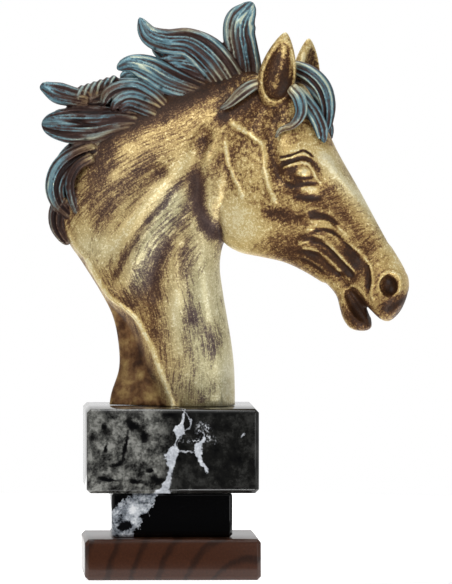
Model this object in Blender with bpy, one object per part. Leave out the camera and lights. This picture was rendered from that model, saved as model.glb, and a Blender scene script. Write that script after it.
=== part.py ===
"""A horse-head trophy: a cast head and neck with a flying mane, on two marble blocks and a wooden foot.

Metres, +Z up. The origin is the middle of the wooden foot's underside, and the horse looks along +X.
"""

import math

import bmesh
import bpy
import numpy as np

# Driving dimensions of the plinth
WOOD_WIDTH = 0.091
WOOD_DEPTH = 0.080
WOOD_HEIGHT = 0.0213
WOOD_CHAMFER = 0.0019
WAIST_WIDTH = 0.0625
WAIST_DEPTH = 0.052
WAIST_HEIGHT = 0.0230
WAIST_CHAMFER = 0.0013
BLOCK_WIDTH = 0.089
BLOCK_DEPTH = 0.078
BLOCK_HEIGHT = 0.0437
BLOCK_CHAMFER = 0.0020
GLUE_GAP = 0.0003

# Driving dimensions of the cast figure
FIGURE_HEIGHT = 0.2095
FIGURE_OFFSET = 0.0008
FOOT_TURN = math.radians(8)
HEAD_TURN = math.radians(20)
FIGURE_TRIANGLES = 9400

# The side view is drawn on squares. The figure is SQUARES_TALL of them, x runs right, z runs down,
# and FOOT_X, FOOT_Z is the middle of the foot on the drawing. Every free form is a share of the height.
# The view is drawn from a little left of straight on and a little above, from VIEW_FAR squares away.
SQUARES_TALL = 403
FOOT_X = 172
FOOT_Z = 405
SQUARE = FIGURE_HEIGHT / SQUARES_TALL
CLAY_GRAIN = 1.7
BODY_EASING = 6
HAIR_EASING = 1
BEND_FROM = 0
BEND_TO = 90
BEND_REACH = 300
VIEW_TURN = math.radians(2.0)
VIEW_DROP = math.radians(2.1)
VIEW_FAR = 9400
VIEW_LEVEL = 117


def smoothstep(share):
    share = np.clip(share, 0, 1)
    return share * share * (3 - 2 * share)


def bend_table():
    """The midplane seen from above: distance along it, then its x, its y and its direction there."""
    along = np.linspace(-BEND_REACH, BEND_REACH, 2 * BEND_REACH + 1)
    share = smoothstep((along - BEND_FROM) / (BEND_TO - BEND_FROM))
    turn = FOOT_TURN + (HEAD_TURN - FOOT_TURN) * share
    step = along[1] - along[0]
    x = np.cumsum(np.cos(turn)) * step
    y = -np.cumsum(np.sin(turn)) * step
    middle = BEND_REACH
    return along, x - x[middle], y - y[middle], turn


BEND = bend_table()


def straight(seen_x, seen_z, y):
    """Where the straight figure has the point that the drawing shows at seen_x and seen_z.
    It lies y from the midplane, and is given as x, y and z from the foot, z up."""
    along, middle_x, middle_y, turn = BEND
    x = middle_x + y * np.sin(turn)
    depth = middle_y + y * np.cos(turn)
    ahead = x * math.sin(VIEW_TURN) + depth * math.cos(VIEW_TURN)
    shown = (x * math.cos(VIEW_TURN) - depth * math.sin(VIEW_TURN)) / (1 + ahead / VIEW_FAR)
    place = np.interp(seen_x - FOOT_X, shown, along)
    ahead = np.interp(place, along, ahead)
    rise = (FOOT_Z - seen_z - VIEW_LEVEL) * (1 + ahead / VIEW_FAR) - ahead * math.sin(VIEW_DROP)
    return float(place), y, float(VIEW_LEVEL + rise / math.cos(VIEW_DROP))


def turned(points):
    """Points of the straight figure bent round to the viewer: the foot a little, the head more."""
    along, x, y, turn = BEND
    angle = np.interp(points[:, 0], along, turn)
    bent = points.copy()
    bent[:, 0] = np.interp(points[:, 0], along, x) + points[:, 1] * np.sin(angle)
    bent[:, 1] = np.interp(points[:, 0], along, y) + points[:, 1] * np.cos(angle)
    return bent


def flowing(points, steps):
    """A smooth curve through the rows of points, with steps pieces between each two."""
    rows = np.asarray(points, float)
    padded = np.vstack([2 * rows[0] - rows[1], rows, 2 * rows[-1] - rows[-2]])
    t = np.linspace(0, 1, steps, endpoint=False)[:, None]
    pieces = []
    for before, start, end, after in zip(padded, padded[1:], padded[2:], padded[3:]):
        bow = 2 * before - 5 * start + 4 * end - after
        pull = 3 * (start - end) + after - before
        pieces.append(start + 0.5 * t * (end - before + t * (bow + t * pull)))
    return np.vstack(pieces + [rows[-1:]])


def rolled(rings):
    """A closed skin on an array of rings: a flat grid rolled up, its seam and its two poles welded."""
    along, around = rings.shape[:2]
    skin = bmesh.new()
    bmesh.ops.create_grid(skin, x_segments=along - 1, y_segments=around, size=0.5)
    for vert in skin.verts:
        ring = round((vert.co.x + 0.5) * (along - 1))
        place = round((vert.co.y + 0.5) * around) % around
        vert.co = rings[ring, place]
    bmesh.ops.remove_doubles(skin, verts=skin.verts, dist=0.001)
    bmesh.ops.recalc_face_normals(skin, faces=skin.faces)
    return skin


def rounding(share, start, end):
    """How wide a form is along its length when its first and last parts are rounded off."""
    head = np.clip(1 - share / start, 0, 1)
    tail = np.clip((share - 1 + end) / end, 0, 1)
    return np.sqrt(1 - head**2) * np.sqrt(1 - tail**2)


def body_form(stations, start, end, steps=4, around=48):
    """A limb of the figure: each station gives its front point, its back point, half its thickness,
    how much wider it is towards the front, and how square it is."""
    rows = []
    for front, back, thick, lean, square in stations:
        rows.append((*front, *back, thick, lean, square))
    track = flowing(rows, steps)
    angle = np.linspace(0, 2 * np.pi, around, endpoint=False)
    share = np.linspace(0, 1, len(track))
    size = rounding(share, start, end)
    rings = np.zeros((len(track), around, 3))
    for ring, row, scale in zip(rings, track, size):
        middle = (row[0:2] + row[2:4]) / 2
        reach = (row[0:2] - row[2:4]) / 2 * scale
        cosine = np.sign(np.cos(angle)) * np.abs(np.cos(angle)) ** (2 / row[6])
        sine = np.sign(np.sin(angle)) * np.abs(np.sin(angle)) ** (2 / row[6])
        ring[:, 0] = middle[0] + reach[0] * cosine
        ring[:, 2] = middle[1] + reach[1] * cosine
        ring[:, 1] = row[4] * scale * sine * (1 + row[5] * cosine)
    return rolled(rings)


def lock_of_hair(points, strands, thick, y_root, y_tip, groove=0.5, around=64, steps=7):
    """A tapering lock. Each point gives its place on the side view and half its width there.
    Its two broad faces are ribbed into strands that run from root to tip."""
    y = np.linspace(y_root, y_tip, len(points))
    rows = [(*straight(x, z, at), half) for (x, z, half), at in zip(points, y)]
    track = flowing(rows, steps)
    share = np.linspace(0, 1, len(track))
    size = rounding(share, 0.05, 0.10)
    tangent = np.gradient(track[:, [0, 2]], axis=0)
    tangent /= np.linalg.norm(tangent, axis=1)[:, None]
    angle = np.linspace(0, 2 * np.pi, around, endpoint=False)
    across, bulge = np.cos(angle), np.sin(angle)
    rings = np.zeros((len(track), around, 3))
    for ring, row, way, scale, at in zip(rings, track, tangent, size, share):
        drift = 0.05 * np.sin(2 * np.pi * at + strands)
        rib = np.abs(np.cos(np.pi * strands * (across + drift * (1 - across**2)) / 2))
        depth = np.sign(bulge) * np.abs(bulge) ** 0.8 * (1 - groove * (1 - rib**0.7))
        ring[:, 0] = row[0] - way[1] * row[3] * scale * across
        ring[:, 2] = row[2] + way[0] * row[3] * scale * across
        ring[:, 1] = row[1] + thick * row[3] * scale * depth
    return rolled(rings)


def mirrored(skin):
    """The same form on the far side of the midplane."""
    other = skin.copy()
    bmesh.ops.scale(other, vec=(1, -1, 1), verts=other.verts)
    bmesh.ops.reverse_faces(other, faces=other.faces)
    return other


def pebble(x, z, y, radii, tilt=0.0):
    """An egg of clay at a side-view place, from its half lengths along x, y and z and its tilt there."""
    egg = bmesh.new()
    bmesh.ops.create_icosphere(egg, subdivisions=4, radius=1)
    co = np.array([vert.co for vert in egg.verts]) * radii
    cosine, sine = math.cos(tilt), math.sin(tilt)
    middle = straight(x, z, y)
    placed = co + middle
    placed[:, 0] = middle[0] + co[:, 0] * cosine - co[:, 2] * sine
    placed[:, 2] = middle[2] + co[:, 0] * sine + co[:, 2] * cosine
    for vert, place in zip(egg.verts, placed):
        vert.co = place
    return egg


def object_of(name, skin):
    mesh = bpy.data.meshes.new(name)
    skin.to_mesh(mesh)
    skin.free()
    obj = bpy.data.objects.new(name, mesh)
    bpy.context.scene.collection.objects.link(obj)
    return obj


def shape_of(obj):
    """The object's mesh with its modifiers applied, as a new bmesh, and the object removed."""
    bpy.context.view_layer.update()
    evaluated = obj.evaluated_get(bpy.context.evaluated_depsgraph_get())
    mesh = evaluated.to_mesh()
    skin = bmesh.new()
    skin.from_mesh(mesh)
    evaluated.to_mesh_clear()
    plain = obj.data
    bpy.data.objects.remove(obj)
    bpy.data.meshes.remove(plain)
    return skin


def hollowed(skin, cutters):
    """The skin with each cutter's form taken out of it."""
    body = object_of("body_to_cut", skin)
    tools = [object_of(f"cutter_{index}", cutter) for index, cutter in enumerate(cutters)]
    for tool in tools:
        cut = body.modifiers.new("cut", "BOOLEAN")
        cut.operation = "DIFFERENCE"
        cut.solver = "EXACT"
        cut.object = tool
    left = shape_of(body)
    for tool in tools:
        plain = tool.data
        bpy.data.objects.remove(tool)
        bpy.data.meshes.remove(plain)
    return left


# Neck: front point, back point, half thickness, lean, squareness
NECK = [
    ((234, 418), (108, 418), 33, 0.20, 2.1),
    ((234, 394), (111, 394), 33, 0.20, 2.1),
    ((233, 368), (119, 368), 33, 0.20, 2.1),
    ((230, 342), (118, 340), 34, 0.20, 2.1),
    ((226, 318), (112, 314), 35, 0.20, 2.1),
    ((222, 294), (99, 289), 36, 0.20, 2.1),
    ((219, 268), (82, 262), 37, 0.22, 2.1),
    ((222, 246), (66, 236), 38, 0.26, 2.1),
    ((232, 222), (64, 202), 37, 0.30, 2.1),
    ((246, 200), (76, 166), 36, 0.32, 2.1),
    ((258, 180), (98, 134), 35, 0.32, 2.1),
    ((270, 160), (130, 108), 34, 0.30, 2.1),
    ((281, 140), (168, 88), 32, 0.28, 2.1),
    ((288, 118), (208, 75), 29, 0.20, 2.1),
    ((290, 98), (244, 70), 24, 0.10, 2.1),
    ((288, 84), (266, 74), 18, 0.0, 2.1),
]

# Head: forehead or nose point, jaw point, half thickness, lean, squareness
HEAD = [
    ((288, 72), (240, 112), 20, 0.0, 2.2),
    ((303, 84), (220, 142), 28, 0.0, 2.2),
    ((315, 104), (211, 176), 33, 0.0, 2.2),
    ((325, 127), (212, 212), 36, 0.05, 2.3),
    ((334, 148), (223, 240), 37, 0.08, 2.4),
    ((345, 168), (240, 252), 35, 0.05, 2.4),
    ((356, 187), (262, 257), 30, 0.05, 2.3),
    ((367, 206), (284, 262), 26, 0.0, 2.2),
    ((377, 224), (302, 270), 23, 0.0, 2.2),
    ((386, 240), (319, 280), 21, 0.0, 2.2),
    ((391, 250), (328, 286), 20, 0.0, 2.2),
]

MUZZLE = [
    ((384, 236), (330, 268), 19, 0.0, 2.2),
    ((394, 252), (338, 280), 21, 0.0, 2.2),
    ((403, 268), (350, 291), 22, 0.05, 2.3),
    ((407, 281), (361, 300), 22, 0.05, 2.3),
    ((406, 296), (370, 308), 20, 0.0, 2.3),
    ((401, 308), (378, 316), 17, 0.0, 2.3),
    ((393, 320), (386, 323), 10, 0.0, 2.2),
]

LOWER_JAW = [
    ((346, 260), (322, 279), 16, 0.0, 2.2),
    ((354, 276), (331, 287), 17, 0.0, 2.2),
    ((359, 290), (338, 296), 17, 0.0, 2.2),
    ((364, 302), (341, 307), 17, 0.0, 2.2),
    ((368, 313), (344, 318), 16, 0.0, 2.2),
    ((371, 324), (351, 328), 13, 0.0, 2.2),
    ((371, 330), (362, 332), 8, 0.0, 2.2),
]

# Locks of the mane: points (x, z, half width) from root to tip, strands, thickness, y at root and tip
LOCKS = {
    "crown_tuft": (
        [
            (246, 92, 13), (244, 70, 15), (240, 50, 16), (238, 34, 15), (242, 20, 14), (250, 8, 8),
            (254, 2, 3),
        ],
        6, 0.55, -4, -2,
    ),
    "high_lock": (
        [
            (236, 92, 17), (222, 72, 20), (206, 55, 20), (188, 44, 16), (167, 42, 13), (150, 36, 10),
            (140, 18, 4),
        ],
        7, 0.5, -10, -6,
    ),
    "middle_lock": (
        [
            (212, 93, 8), (190, 88, 12), (168, 80, 15), (148, 69, 14), (131, 64, 9), (116, 69, 4),
        ],
        6, 0.55, -14, -10,
    ),
    "curl_outer": (
        [
            (166, 106, 5), (152, 94, 6), (136, 86, 6), (120, 87, 6), (108, 94, 6), (103, 105, 4),
        ],
        2, 0.9, -17, -14,
    ),
    "curl_middle": (
        [
            (162, 108, 4), (146, 100, 5), (130, 96, 5), (118, 101, 5), (112, 111, 3),
        ],
        2, 0.9, -17, -17,
    ),
    "curl_inner": ([(158, 116, 4), (142, 109, 5), (129, 105, 5), (119, 110, 3)], 2, 0.9, -18, -17),
    "wind_tuft": (
        [
            (90, 100, 9), (74, 97, 10), (58, 93, 11), (45, 87, 6), (41, 84, 3),
        ],
        5, 0.6, -8, -4,
    ),
    "long_lock": (
        [
            (140, 122, 8), (116, 122, 12), (94, 127, 16), (73, 128, 17), (56, 127, 13), (43, 125, 5),
        ],
        7, 0.55, -14, -8,
    ),
    "falling_lock": (
        [
            (98, 148, 9), (78, 155, 10), (62, 168, 11), (55, 186, 10), (58, 202, 8), (67, 213, 6),
            (76, 222, 2),
        ],
        4, 0.7, -12, -10,
    ),
    "falling_strand": (
        [
            (94, 156, 5), (78, 166, 5), (70, 182, 5), (72, 200, 4), (78, 216, 2),
        ],
        2, 0.9, -18, -16,
    ),
    "last_lock": (
        [
            (66, 196, 9), (58, 210, 9), (57, 224, 8), (62, 236, 6), (69, 245, 3),
        ],
        3, 0.8, -8, -7,
    ),
    "leaf_lock": (
        [
            (262, 80, 5), (248, 88, 7), (235, 98, 7), (222, 110, 4), (209, 120, 1.5),
        ],
        2, 0.6, -30, -36,
    ),
    "forelock_crest": (
        [
            (284, 66, 6), (298, 69, 8), (312, 76, 9), (323, 88, 9), (328, 104, 8), (328, 120, 6),
            (326, 134, 3),
        ],
        3, 0.9, -2, -6,
    ),
    "forelock_near": (
        [
            (296, 88, 5), (306, 100, 6), (316, 114, 6), (323, 130, 5), (324, 144, 2),
        ],
        2, 0.9, -16, -20,
    ),
    "forelock_thin": (
        [
            (298, 98, 4), (307, 110, 4), (315, 124, 4), (320, 140, 2),
        ],
        1, 0.9, -21, -24,
    ),
    "temple_lock": (
        [
            (290, 86, 6), (299, 98, 7), (301, 113, 6), (293, 125, 4), (281, 130, 3), (275, 139, 1.5),
        ],
        2, 0.7, -29, -36,
    ),
}

# The low mass of hair on the crest that the locks rise from
MANE_BED = {
    "crest_bed": (
        [
            (262, 84, 12), (236, 90, 15), (205, 96, 16), (175, 106, 16), (146, 116, 15), (116, 116, 14),
            (94, 114, 14), (76, 112, 9), (62, 112, 4),
        ],
        9, 0.9, -3, -3,
    ),
    "upper_bed": (
        [
            (240, 84, 10), (214, 76, 14), (192, 68, 14), (172, 64, 11), (156, 66, 5),
        ],
        4, 0.7, -1, -1,
    ),
    "middle_bed": (
        [
            (170, 104, 12), (148, 94, 13), (126, 90, 12), (106, 92, 11), (88, 98, 9), (74, 102, 4),
        ],
        6, 0.8, -3, -3,
    ),
    "fall_bed": (
        [
            (112, 124, 10), (92, 140, 14), (76, 158, 14), (66, 178, 12), (62, 200, 9), (64, 220, 7),
            (70, 240, 4),
        ],
        6, 0.9, -2, -2,
    ),
}

# The same on the side away from the viewer, plainer
FAR_LOCKS = {
    "far_high_lock": (
        [
            (228, 92, 16), (208, 74, 18), (188, 58, 15), (168, 53, 12), (152, 42, 6),
        ],
        5, 0.5, 12, 12,
    ),
    "far_middle_lock": (
        [
            (196, 98, 12), (170, 90, 15), (148, 80, 13), (130, 76, 8), (120, 80, 4),
        ],
        5, 0.55, 15, 12,
    ),
    "far_long_lock": (
        [
            (150, 118, 12), (120, 116, 15), (92, 120, 15), (68, 119, 12), (52, 114, 5),
        ],
        5, 0.55, 14, 10,
    ),
    "far_low_lock": (
        [
            (112, 142, 12), (86, 148, 13), (68, 162, 12), (60, 182, 10), (64, 202, 6), (72, 216, 3),
        ],
        4, 0.6, 14, 10,
    ),
    "far_last_lock": ([(72, 192, 9), (64, 210, 9), (63, 226, 7), (70, 240, 3)], 3, 0.8, 10, 8),
    "far_forelock": (
        [
            (292, 84, 6), (306, 94, 8), (320, 110, 7), (329, 128, 5), (330, 142, 2),
        ],
        3, 0.8, 14, 20,
    ),
    "far_temple_lock": (
        [
            (288, 84, 6), (300, 96, 7), (306, 112, 6), (302, 128, 4), (296, 140, 2),
        ],
        2, 0.7, 27, 34,
    ),
}

# Short strands that cross the crest behind the wind tuft like the turns of a rope
TWIST_FROM = (78, 101)
TWIST_TO = (110, 91)
TWIST_TURNS = 6
TWIST_RISE = (6, -15)


# Strokes of the modelling tool on both sides of the head and neck: half width, height (below zero for
# a groove), and the points on the side view
STROKES = {
    "valley_behind_cheek": (9, -6.0, [(212, 128), (204, 150), (203, 185), (206, 212), (214, 234)]),
    "cheek_edge": (
        2.4,
        2.0,
        [
            (230, 121), (245, 131), (256, 139), (263, 144), (266, 154), (267, 168), (270, 182),
            (275, 196), (279, 205),
        ],
    ),
    "cheek_vein": (1.6, 1.1, [(227, 140), (228, 157), (232, 171), (239, 185), (245, 200)]),
    "cheek_hollow": (7, -2.6, [(262, 214), (279, 214), (296, 218), (308, 222)]),
    "temple_hollow": (8, -4.0, [(277, 106), (272, 123), (271, 141), (274, 160), (281, 178)]),
    "nose_side": (9, -3.6, [(320, 184), (334, 200), (348, 220), (362, 240), (374, 256)]),
    "nose_crest": (
        3.2,
        1.8,
        [
            (316, 154), (326, 168), (340, 190), (353, 206), (367, 226), (380, 246), (392, 262),
        ],
    ),
    "brow": (2.0, 2.4, [(279, 160), (289, 156), (299, 151), (307, 152), (314, 159), (319, 168)]),
    "brow_fold": (2.0, -2.0, [(281, 164), (293, 160), (304, 160), (311, 165)]),
    "upper_lid": (
        1.5,
        1.8,
        [
            (284, 167), (292, 165), (300, 162), (307, 164), (312, 169), (316, 178),
        ],
    ),
    "lower_lid": (1.4, 1.3, [(288, 174), (295, 179), (305, 181), (316, 180)]),
    "under_eye": (2.2, -1.6, [(286, 182), (297, 186), (308, 184), (318, 184)]),
    "eye_pad": (3.4, 1.8, [(300, 189), (310, 188), (320, 188)]),
    "under_pad": (2.4, -1.6, [(296, 197), (309, 199), (322, 198)]),
    "wrinkle_1": (1.7, 1.8, [(305, 214), (311, 209), (322, 211), (331, 217), (342, 227)]),
    "wrinkle_1_low": (2.2, -1.6, [(309, 217), (324, 217), (336, 226)]),
    "wrinkle_2": (
        1.7,
        1.9,
        [
            (305, 232), (313, 226), (325, 226), (336, 231), (344, 239), (356, 250), (363, 261),
        ],
    ),
    "wrinkle_2_low": (2.0, -1.6, [(313, 231), (326, 231), (336, 237), (347, 248), (356, 260)]),
    "wrinkle_3": (
        1.7,
        1.9,
        [
            (297, 244), (307, 237), (318, 237), (327, 243), (333, 250), (343, 262), (354, 273),
        ],
    ),
    "wrinkle_3_low": (1.9, -1.6, [(308, 242), (319, 243), (328, 250), (340, 264), (350, 276)]),
    "wrinkle_4": (
        1.6,
        1.7,
        [
            (300, 248), (311, 248), (321, 254), (330, 262), (340, 273), (348, 281),
        ],
    ),
    "wrinkle_4_low": (1.8, -1.5, [(304, 253), (315, 256), (326, 266), (337, 277)]),
    "wrinkle_5": (1.6, 1.6, [(294, 254), (306, 259), (316, 265), (326, 273), (335, 281)]),
    "wrinkle_5_low": (1.7, -1.3, [(297, 259), (309, 265), (320, 273)]),
    "nostril_groove": (2.4, -2.4, [(364, 264), (366, 276), (365, 290)]),
    "nostril_fold": (1.8, 1.8, [(361, 256), (368, 268), (371, 281), (369, 293), (372, 302)]),
    "nostril_rim": (
        1.9,
        2.2,
        [
            (380, 279), (384, 274), (390, 273), (396, 277), (398, 285), (396, 293), (390, 297),
            (383, 295), (379, 288), (380, 279),
        ],
    ),
    "lip_crease": (1.8, -1.5, [(374, 300), (382, 304), (391, 306), (399, 303)]),
    "mouth_edge": (
        1.6,
        1.5,
        [
            (343, 295), (343, 290), (349, 286), (356, 289), (361, 295), (365, 302),
        ],
    ),
    "lower_lip": (1.6, 1.4, [(342, 293), (348, 304), (356, 316), (366, 327)]),
    "jugular": (10, -4.5, [(212, 160), (202, 185), (194, 215), (190, 250), (190, 290), (192, 325)]),
    "windpipe": (9, 2.0, [(212, 262), (211, 300), (214, 345), (218, 385)]),
    "neck_muscle": (
        9,
        3.2,
        [
            (212, 150), (190, 185), (168, 212), (146, 240), (126, 275), (118, 296),
        ],
    ),
    "shoulder_band": (8, -2.8, [(186, 215), (168, 245), (156, 275), (150, 305)]),
    "crest_band": (8, -2.6, [(168, 165), (142, 196), (118, 232), (100, 268)]),
}

# The rim of the cut at the back of the bust, with the plain hollow behind it
CUT_RIM = [
    (84, 258), (93, 275), (103, 291), (112, 300), (124, 308), (136, 319), (146, 336), (154, 353),
    (160, 370), (167, 387), (173, 404), (174, 416),
]
CUT_RIM_STROKE = (1.9, 2.2)
CUT_DEPTH = 11
CUT_WIDTH = 16
FADE_LENGTH = 2.5
BLUNT_END = 0.25
STROKE_REACH = 3


def distance_to(points, line):
    """How far each point is from a line of straight pieces, which side of it (above zero to its left),
    and how far from the nearer end of the line the closest place on it is."""
    best = np.full(len(points), np.inf)
    side = np.zeros(len(points))
    passed = np.zeros(len(points))
    before = 0
    for start, end in zip(line, line[1:]):
        way = end - start
        length = np.linalg.norm(way)
        out = points - start
        share = np.clip(out @ way / length**2, 0, 1)
        gap = np.linalg.norm(out - np.outer(share, way), axis=1)
        turn = way[0] * out[:, 1] - way[1] * out[:, 0]
        closer = gap < best
        best[closer] = gap[closer]
        side[closer] = np.sign(turn[closer])
        passed[closer] = before + share[closer] * length
        before += length
    return best, side, np.minimum(passed, before - passed)


def tooled(skin):
    """Works the strokes into both sides of the body, and hollows the back of the bust behind its rim."""
    co = coordinates(skin)
    skin.normal_update()
    normals = np.array([vert.normal for vert in skin.verts])
    facing = np.clip(np.abs(normals[:, 1]) * 1.6 - 0.15, 0, 1)
    place = co[:, [0, 2]]
    moved = np.zeros(len(co))
    for half_width, height, points in STROKES.values():
        line = flowing([side_place(x, z) for x, z in points], 4)
        reach = np.ptp(line, axis=0).max() + STROKE_REACH * half_width
        near = np.abs(place - line.mean(axis=0)).max(axis=1) < reach
        gap, _, from_end = distance_to(place[near], line)
        fading = 1
        if points[0] != points[-1]:
            fading = smoothstep(from_end / (FADE_LENGTH * half_width) + BLUNT_END)
        moved[near] += height * fading * np.exp(-((gap / half_width) ** 2))
    rim = flowing([side_place(x, z) for x, z in CUT_RIM], 4)
    gap, side, _ = distance_to(place, rim)
    half_width, height = CUT_RIM_STROKE
    moved += height * np.exp(-((gap / half_width) ** 2))
    co += normals * (moved * facing)[:, None]
    behind = smoothstep(np.where(side < 0, gap, 0) / CUT_WIDTH) * (place[:, 1] < rim[0, 1] + CUT_WIDTH)
    co[:, 1] -= np.sign(co[:, 1]) * np.minimum(CUT_DEPTH * behind, np.abs(co[:, 1]) * 0.5)
    lay(skin, co)
    return skin


def side_place(x, z):
    """A drawn point on the near side of the straight figure, as x and z."""
    place = straight(x, z, -30)
    return place[0], place[2]


# Ears: tip and base on the side view, half width, the angle from straight ahead that the opening
# faces, and y at the base and the tip. Eye, nostril and mouth are eggs of clay added or taken out.
NEAR_EAR = {"tip": (286, 31), "base": (271, 108), "half_width": 19, "opening": -62, "y": (-25, -27)}
FAR_EAR = {"tip": (309, 37), "base": (304, 108), "half_width": 18, "opening": -20, "y": (25, 27)}
EAR_WALL = {"width": 0.80, "forward": 0.42, "from": 0.10, "to": 0.92}
EAR_FLATNESS = 0.72
EYEBALL = {"x": 301, "z": 171, "y": -30, "radii": (10, 8, 8)}
NOSTRIL = {"x": 389, "z": 285, "y": -22, "radii": (7, 10, 9), "tilt": math.radians(12)}
MOUTH = {"x": 361, "z": 303, "y": 0, "radii": (25, 15, 6.5), "tilt": math.radians(-66)}


def ear(tip, base, half_width, opening, y):
    """A leaf-shaped ear: a pointed shell hollowed towards its opening."""
    shares = np.linspace(0, 1, 15)
    foot = np.array(straight(*base, y[0]))
    top = np.array(straight(*tip, y[1]))
    axis = top - foot
    turn = math.radians(opening)
    facing = np.array([math.cos(turn), math.sin(turn), 0])
    facing -= axis * facing.dot(axis) / axis.dot(axis)
    facing /= np.linalg.norm(facing)
    side = np.cross(axis / np.linalg.norm(axis), facing)
    leaf = np.sin(np.pi * shares**0.72) ** 0.72 * half_width

    def shell(scale, forward, low, high):
        angle = np.linspace(0, 2 * np.pi, 24, endpoint=False)
        rings = []
        for share, half in zip(shares, leaf):
            lifted = low + (high - low) * share
            out = np.outer(np.cos(angle), side) * half * scale
            deep = np.outer(np.sin(angle), facing) * half * scale * EAR_FLATNESS
            rings.append(foot + axis * lifted + facing * forward + out + deep)
        return rolled(np.array(rings))

    outer = shell(1.0, 0.0, 0.0, 1.0)
    inner = shell(EAR_WALL["width"], half_width * EAR_WALL["forward"], EAR_WALL["from"], EAR_WALL["to"])
    return hollowed(outer, [inner])


def body_pieces():
    """The neck, the head with its open mouth and nostrils, the ears and the eyes."""
    muzzle = body_form(straightened(MUZZLE), start=0.1, end=0.10)
    jaw = body_form(straightened(LOWER_JAW), start=0.1, end=0.12)
    trough = pebble(**MOUTH)
    nostrils = [pebble(**{**NOSTRIL, "y": y}) for y in (NOSTRIL["y"], -NOSTRIL["y"])]
    pieces = [
        body_form(straightened(NECK), start=0.01, end=0.05),
        body_form(straightened(HEAD), start=0.12, end=0.06),
        hollowed(muzzle, nostrils + [trough.copy()]),
        hollowed(jaw, [trough]),
        ear(**NEAR_EAR),
        ear(**FAR_EAR),
    ]
    eyeball = pebble(**EYEBALL)
    return pieces + [mirrored(eyeball), eyeball]


def twist_strands():
    """The short strands that cross the crest like the turns of a rope."""
    strands = []
    for turn in range(TWIST_TURNS):
        share = turn / (TWIST_TURNS - 1)
        x = TWIST_FROM[0] + (TWIST_TO[0] - TWIST_FROM[0]) * share
        z = TWIST_FROM[1] + (TWIST_TO[1] - TWIST_FROM[1]) * share
        middle = (x + TWIST_RISE[0] * 0.4, z + TWIST_RISE[1] * 0.6, 4.2)
        strands.append([(x, z, 3.5), middle, (x + TWIST_RISE[0], z + TWIST_RISE[1], 3)])
    return [lock_of_hair(strand, 1, 1.7, -6, -4) for strand in strands]


def hair_pieces():
    locks = [*MANE_BED.values(), *LOCKS.values(), *FAR_LOCKS.values()]
    return [lock_of_hair(*lock) for lock in locks] + twist_strands()


def straightened(stations):
    """Stations with their drawn points moved to the straight figure."""
    made = []
    for front, back, thick, lean, square in stations:
        front_x, _, front_z = straight(*front, 0)
        back_x, _, back_z = straight(*back, 0)
        made.append(((front_x, front_z), (back_x, back_z), thick, lean, square))
    return made


def worked_together(pieces, grain, easing):
    """All the pieces of clay as one body: the space they fill is cut into cells of one grain and skinned,
    and the skin is eased the given number of times."""
    lump = bmesh.new()
    for piece in pieces:
        mesh = bpy.data.meshes.new("piece")
        piece.to_mesh(mesh)
        piece.free()
        lump.from_mesh(mesh)
        bpy.data.meshes.remove(mesh)
    obj = object_of("lump", lump)
    fused = obj.modifiers.new("fused", "REMESH")
    fused.mode = "VOXEL"
    fused.voxel_size = grain
    fused.adaptivity = 0
    eased = obj.modifiers.new("eased", "SMOOTH")
    eased.factor = 0.5
    eased.iterations = easing
    return largest_shell(shape_of(obj))


def largest_shell(skin):
    """The skin without the small closed bubbles that can be left between strands."""
    left = set(skin.verts)
    shells = []
    while left:
        seed = left.pop()
        shell = {seed}
        edge = [seed]
        while edge:
            reached = []
            for vert in edge:
                for link in vert.link_edges:
                    other = link.other_vert(vert)
                    if other in left:
                        left.remove(other)
                        shell.add(other)
                        reached.append(other)
            edge = reached
        shells.append(shell)
    shells.sort(key=len, reverse=True)
    for shell in shells[1:]:
        bmesh.ops.delete(skin, geom=list(shell), context="VERTS")
    return skin


def coordinates(skin):
    return np.array([vert.co for vert in skin.verts])


def lay(skin, co):
    for vert, place in zip(skin.verts, co):
        vert.co = place


def flat_foot(skin):
    """Cuts the figure level at its foot and closes the cut."""
    everything = [*skin.verts, *skin.edges, *skin.faces]
    cut = bmesh.ops.bisect_plane(
        skin, geom=everything, plane_co=(0, 0, 0), plane_no=(0, 0, -1), clear_outer=True, dist=1e-5
    )
    rim = [edge for edge in cut["geom_cut"] if isinstance(edge, bmesh.types.BMEdge)]
    bmesh.ops.contextual_create(skin, geom=rim)
    bmesh.ops.triangulate(skin, faces=skin.faces)
    return skin


def material(name, colour, roughness, metallic=0.0):
    made = bpy.data.materials.new(name)
    made.use_nodes = True
    shader = made.node_tree.nodes["Principled BSDF"]
    shader.inputs["Base Color"].default_value = (*colour, 1)
    shader.inputs["Roughness"].default_value = roughness
    shader.inputs["Metallic"].default_value = metallic
    return made


def slab(name, width, depth, height, bottom, chamfer, finish):
    """One block of the plinth, centred on the origin, with its edges chamfered."""
    block = bmesh.new()
    bmesh.ops.create_cube(block, size=1)
    bmesh.ops.scale(block, vec=(width, depth, height), verts=block.verts)
    bmesh.ops.translate(block, vec=(0, 0, bottom + height / 2), verts=block.verts)
    bmesh.ops.bevel(
        block, geom=block.edges[:], offset=chamfer, segments=1, profile=0.5, affect="EDGES", material=-1
    )
    obj = object_of(name, block)
    obj.data.materials.append(finish)
    return obj


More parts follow.
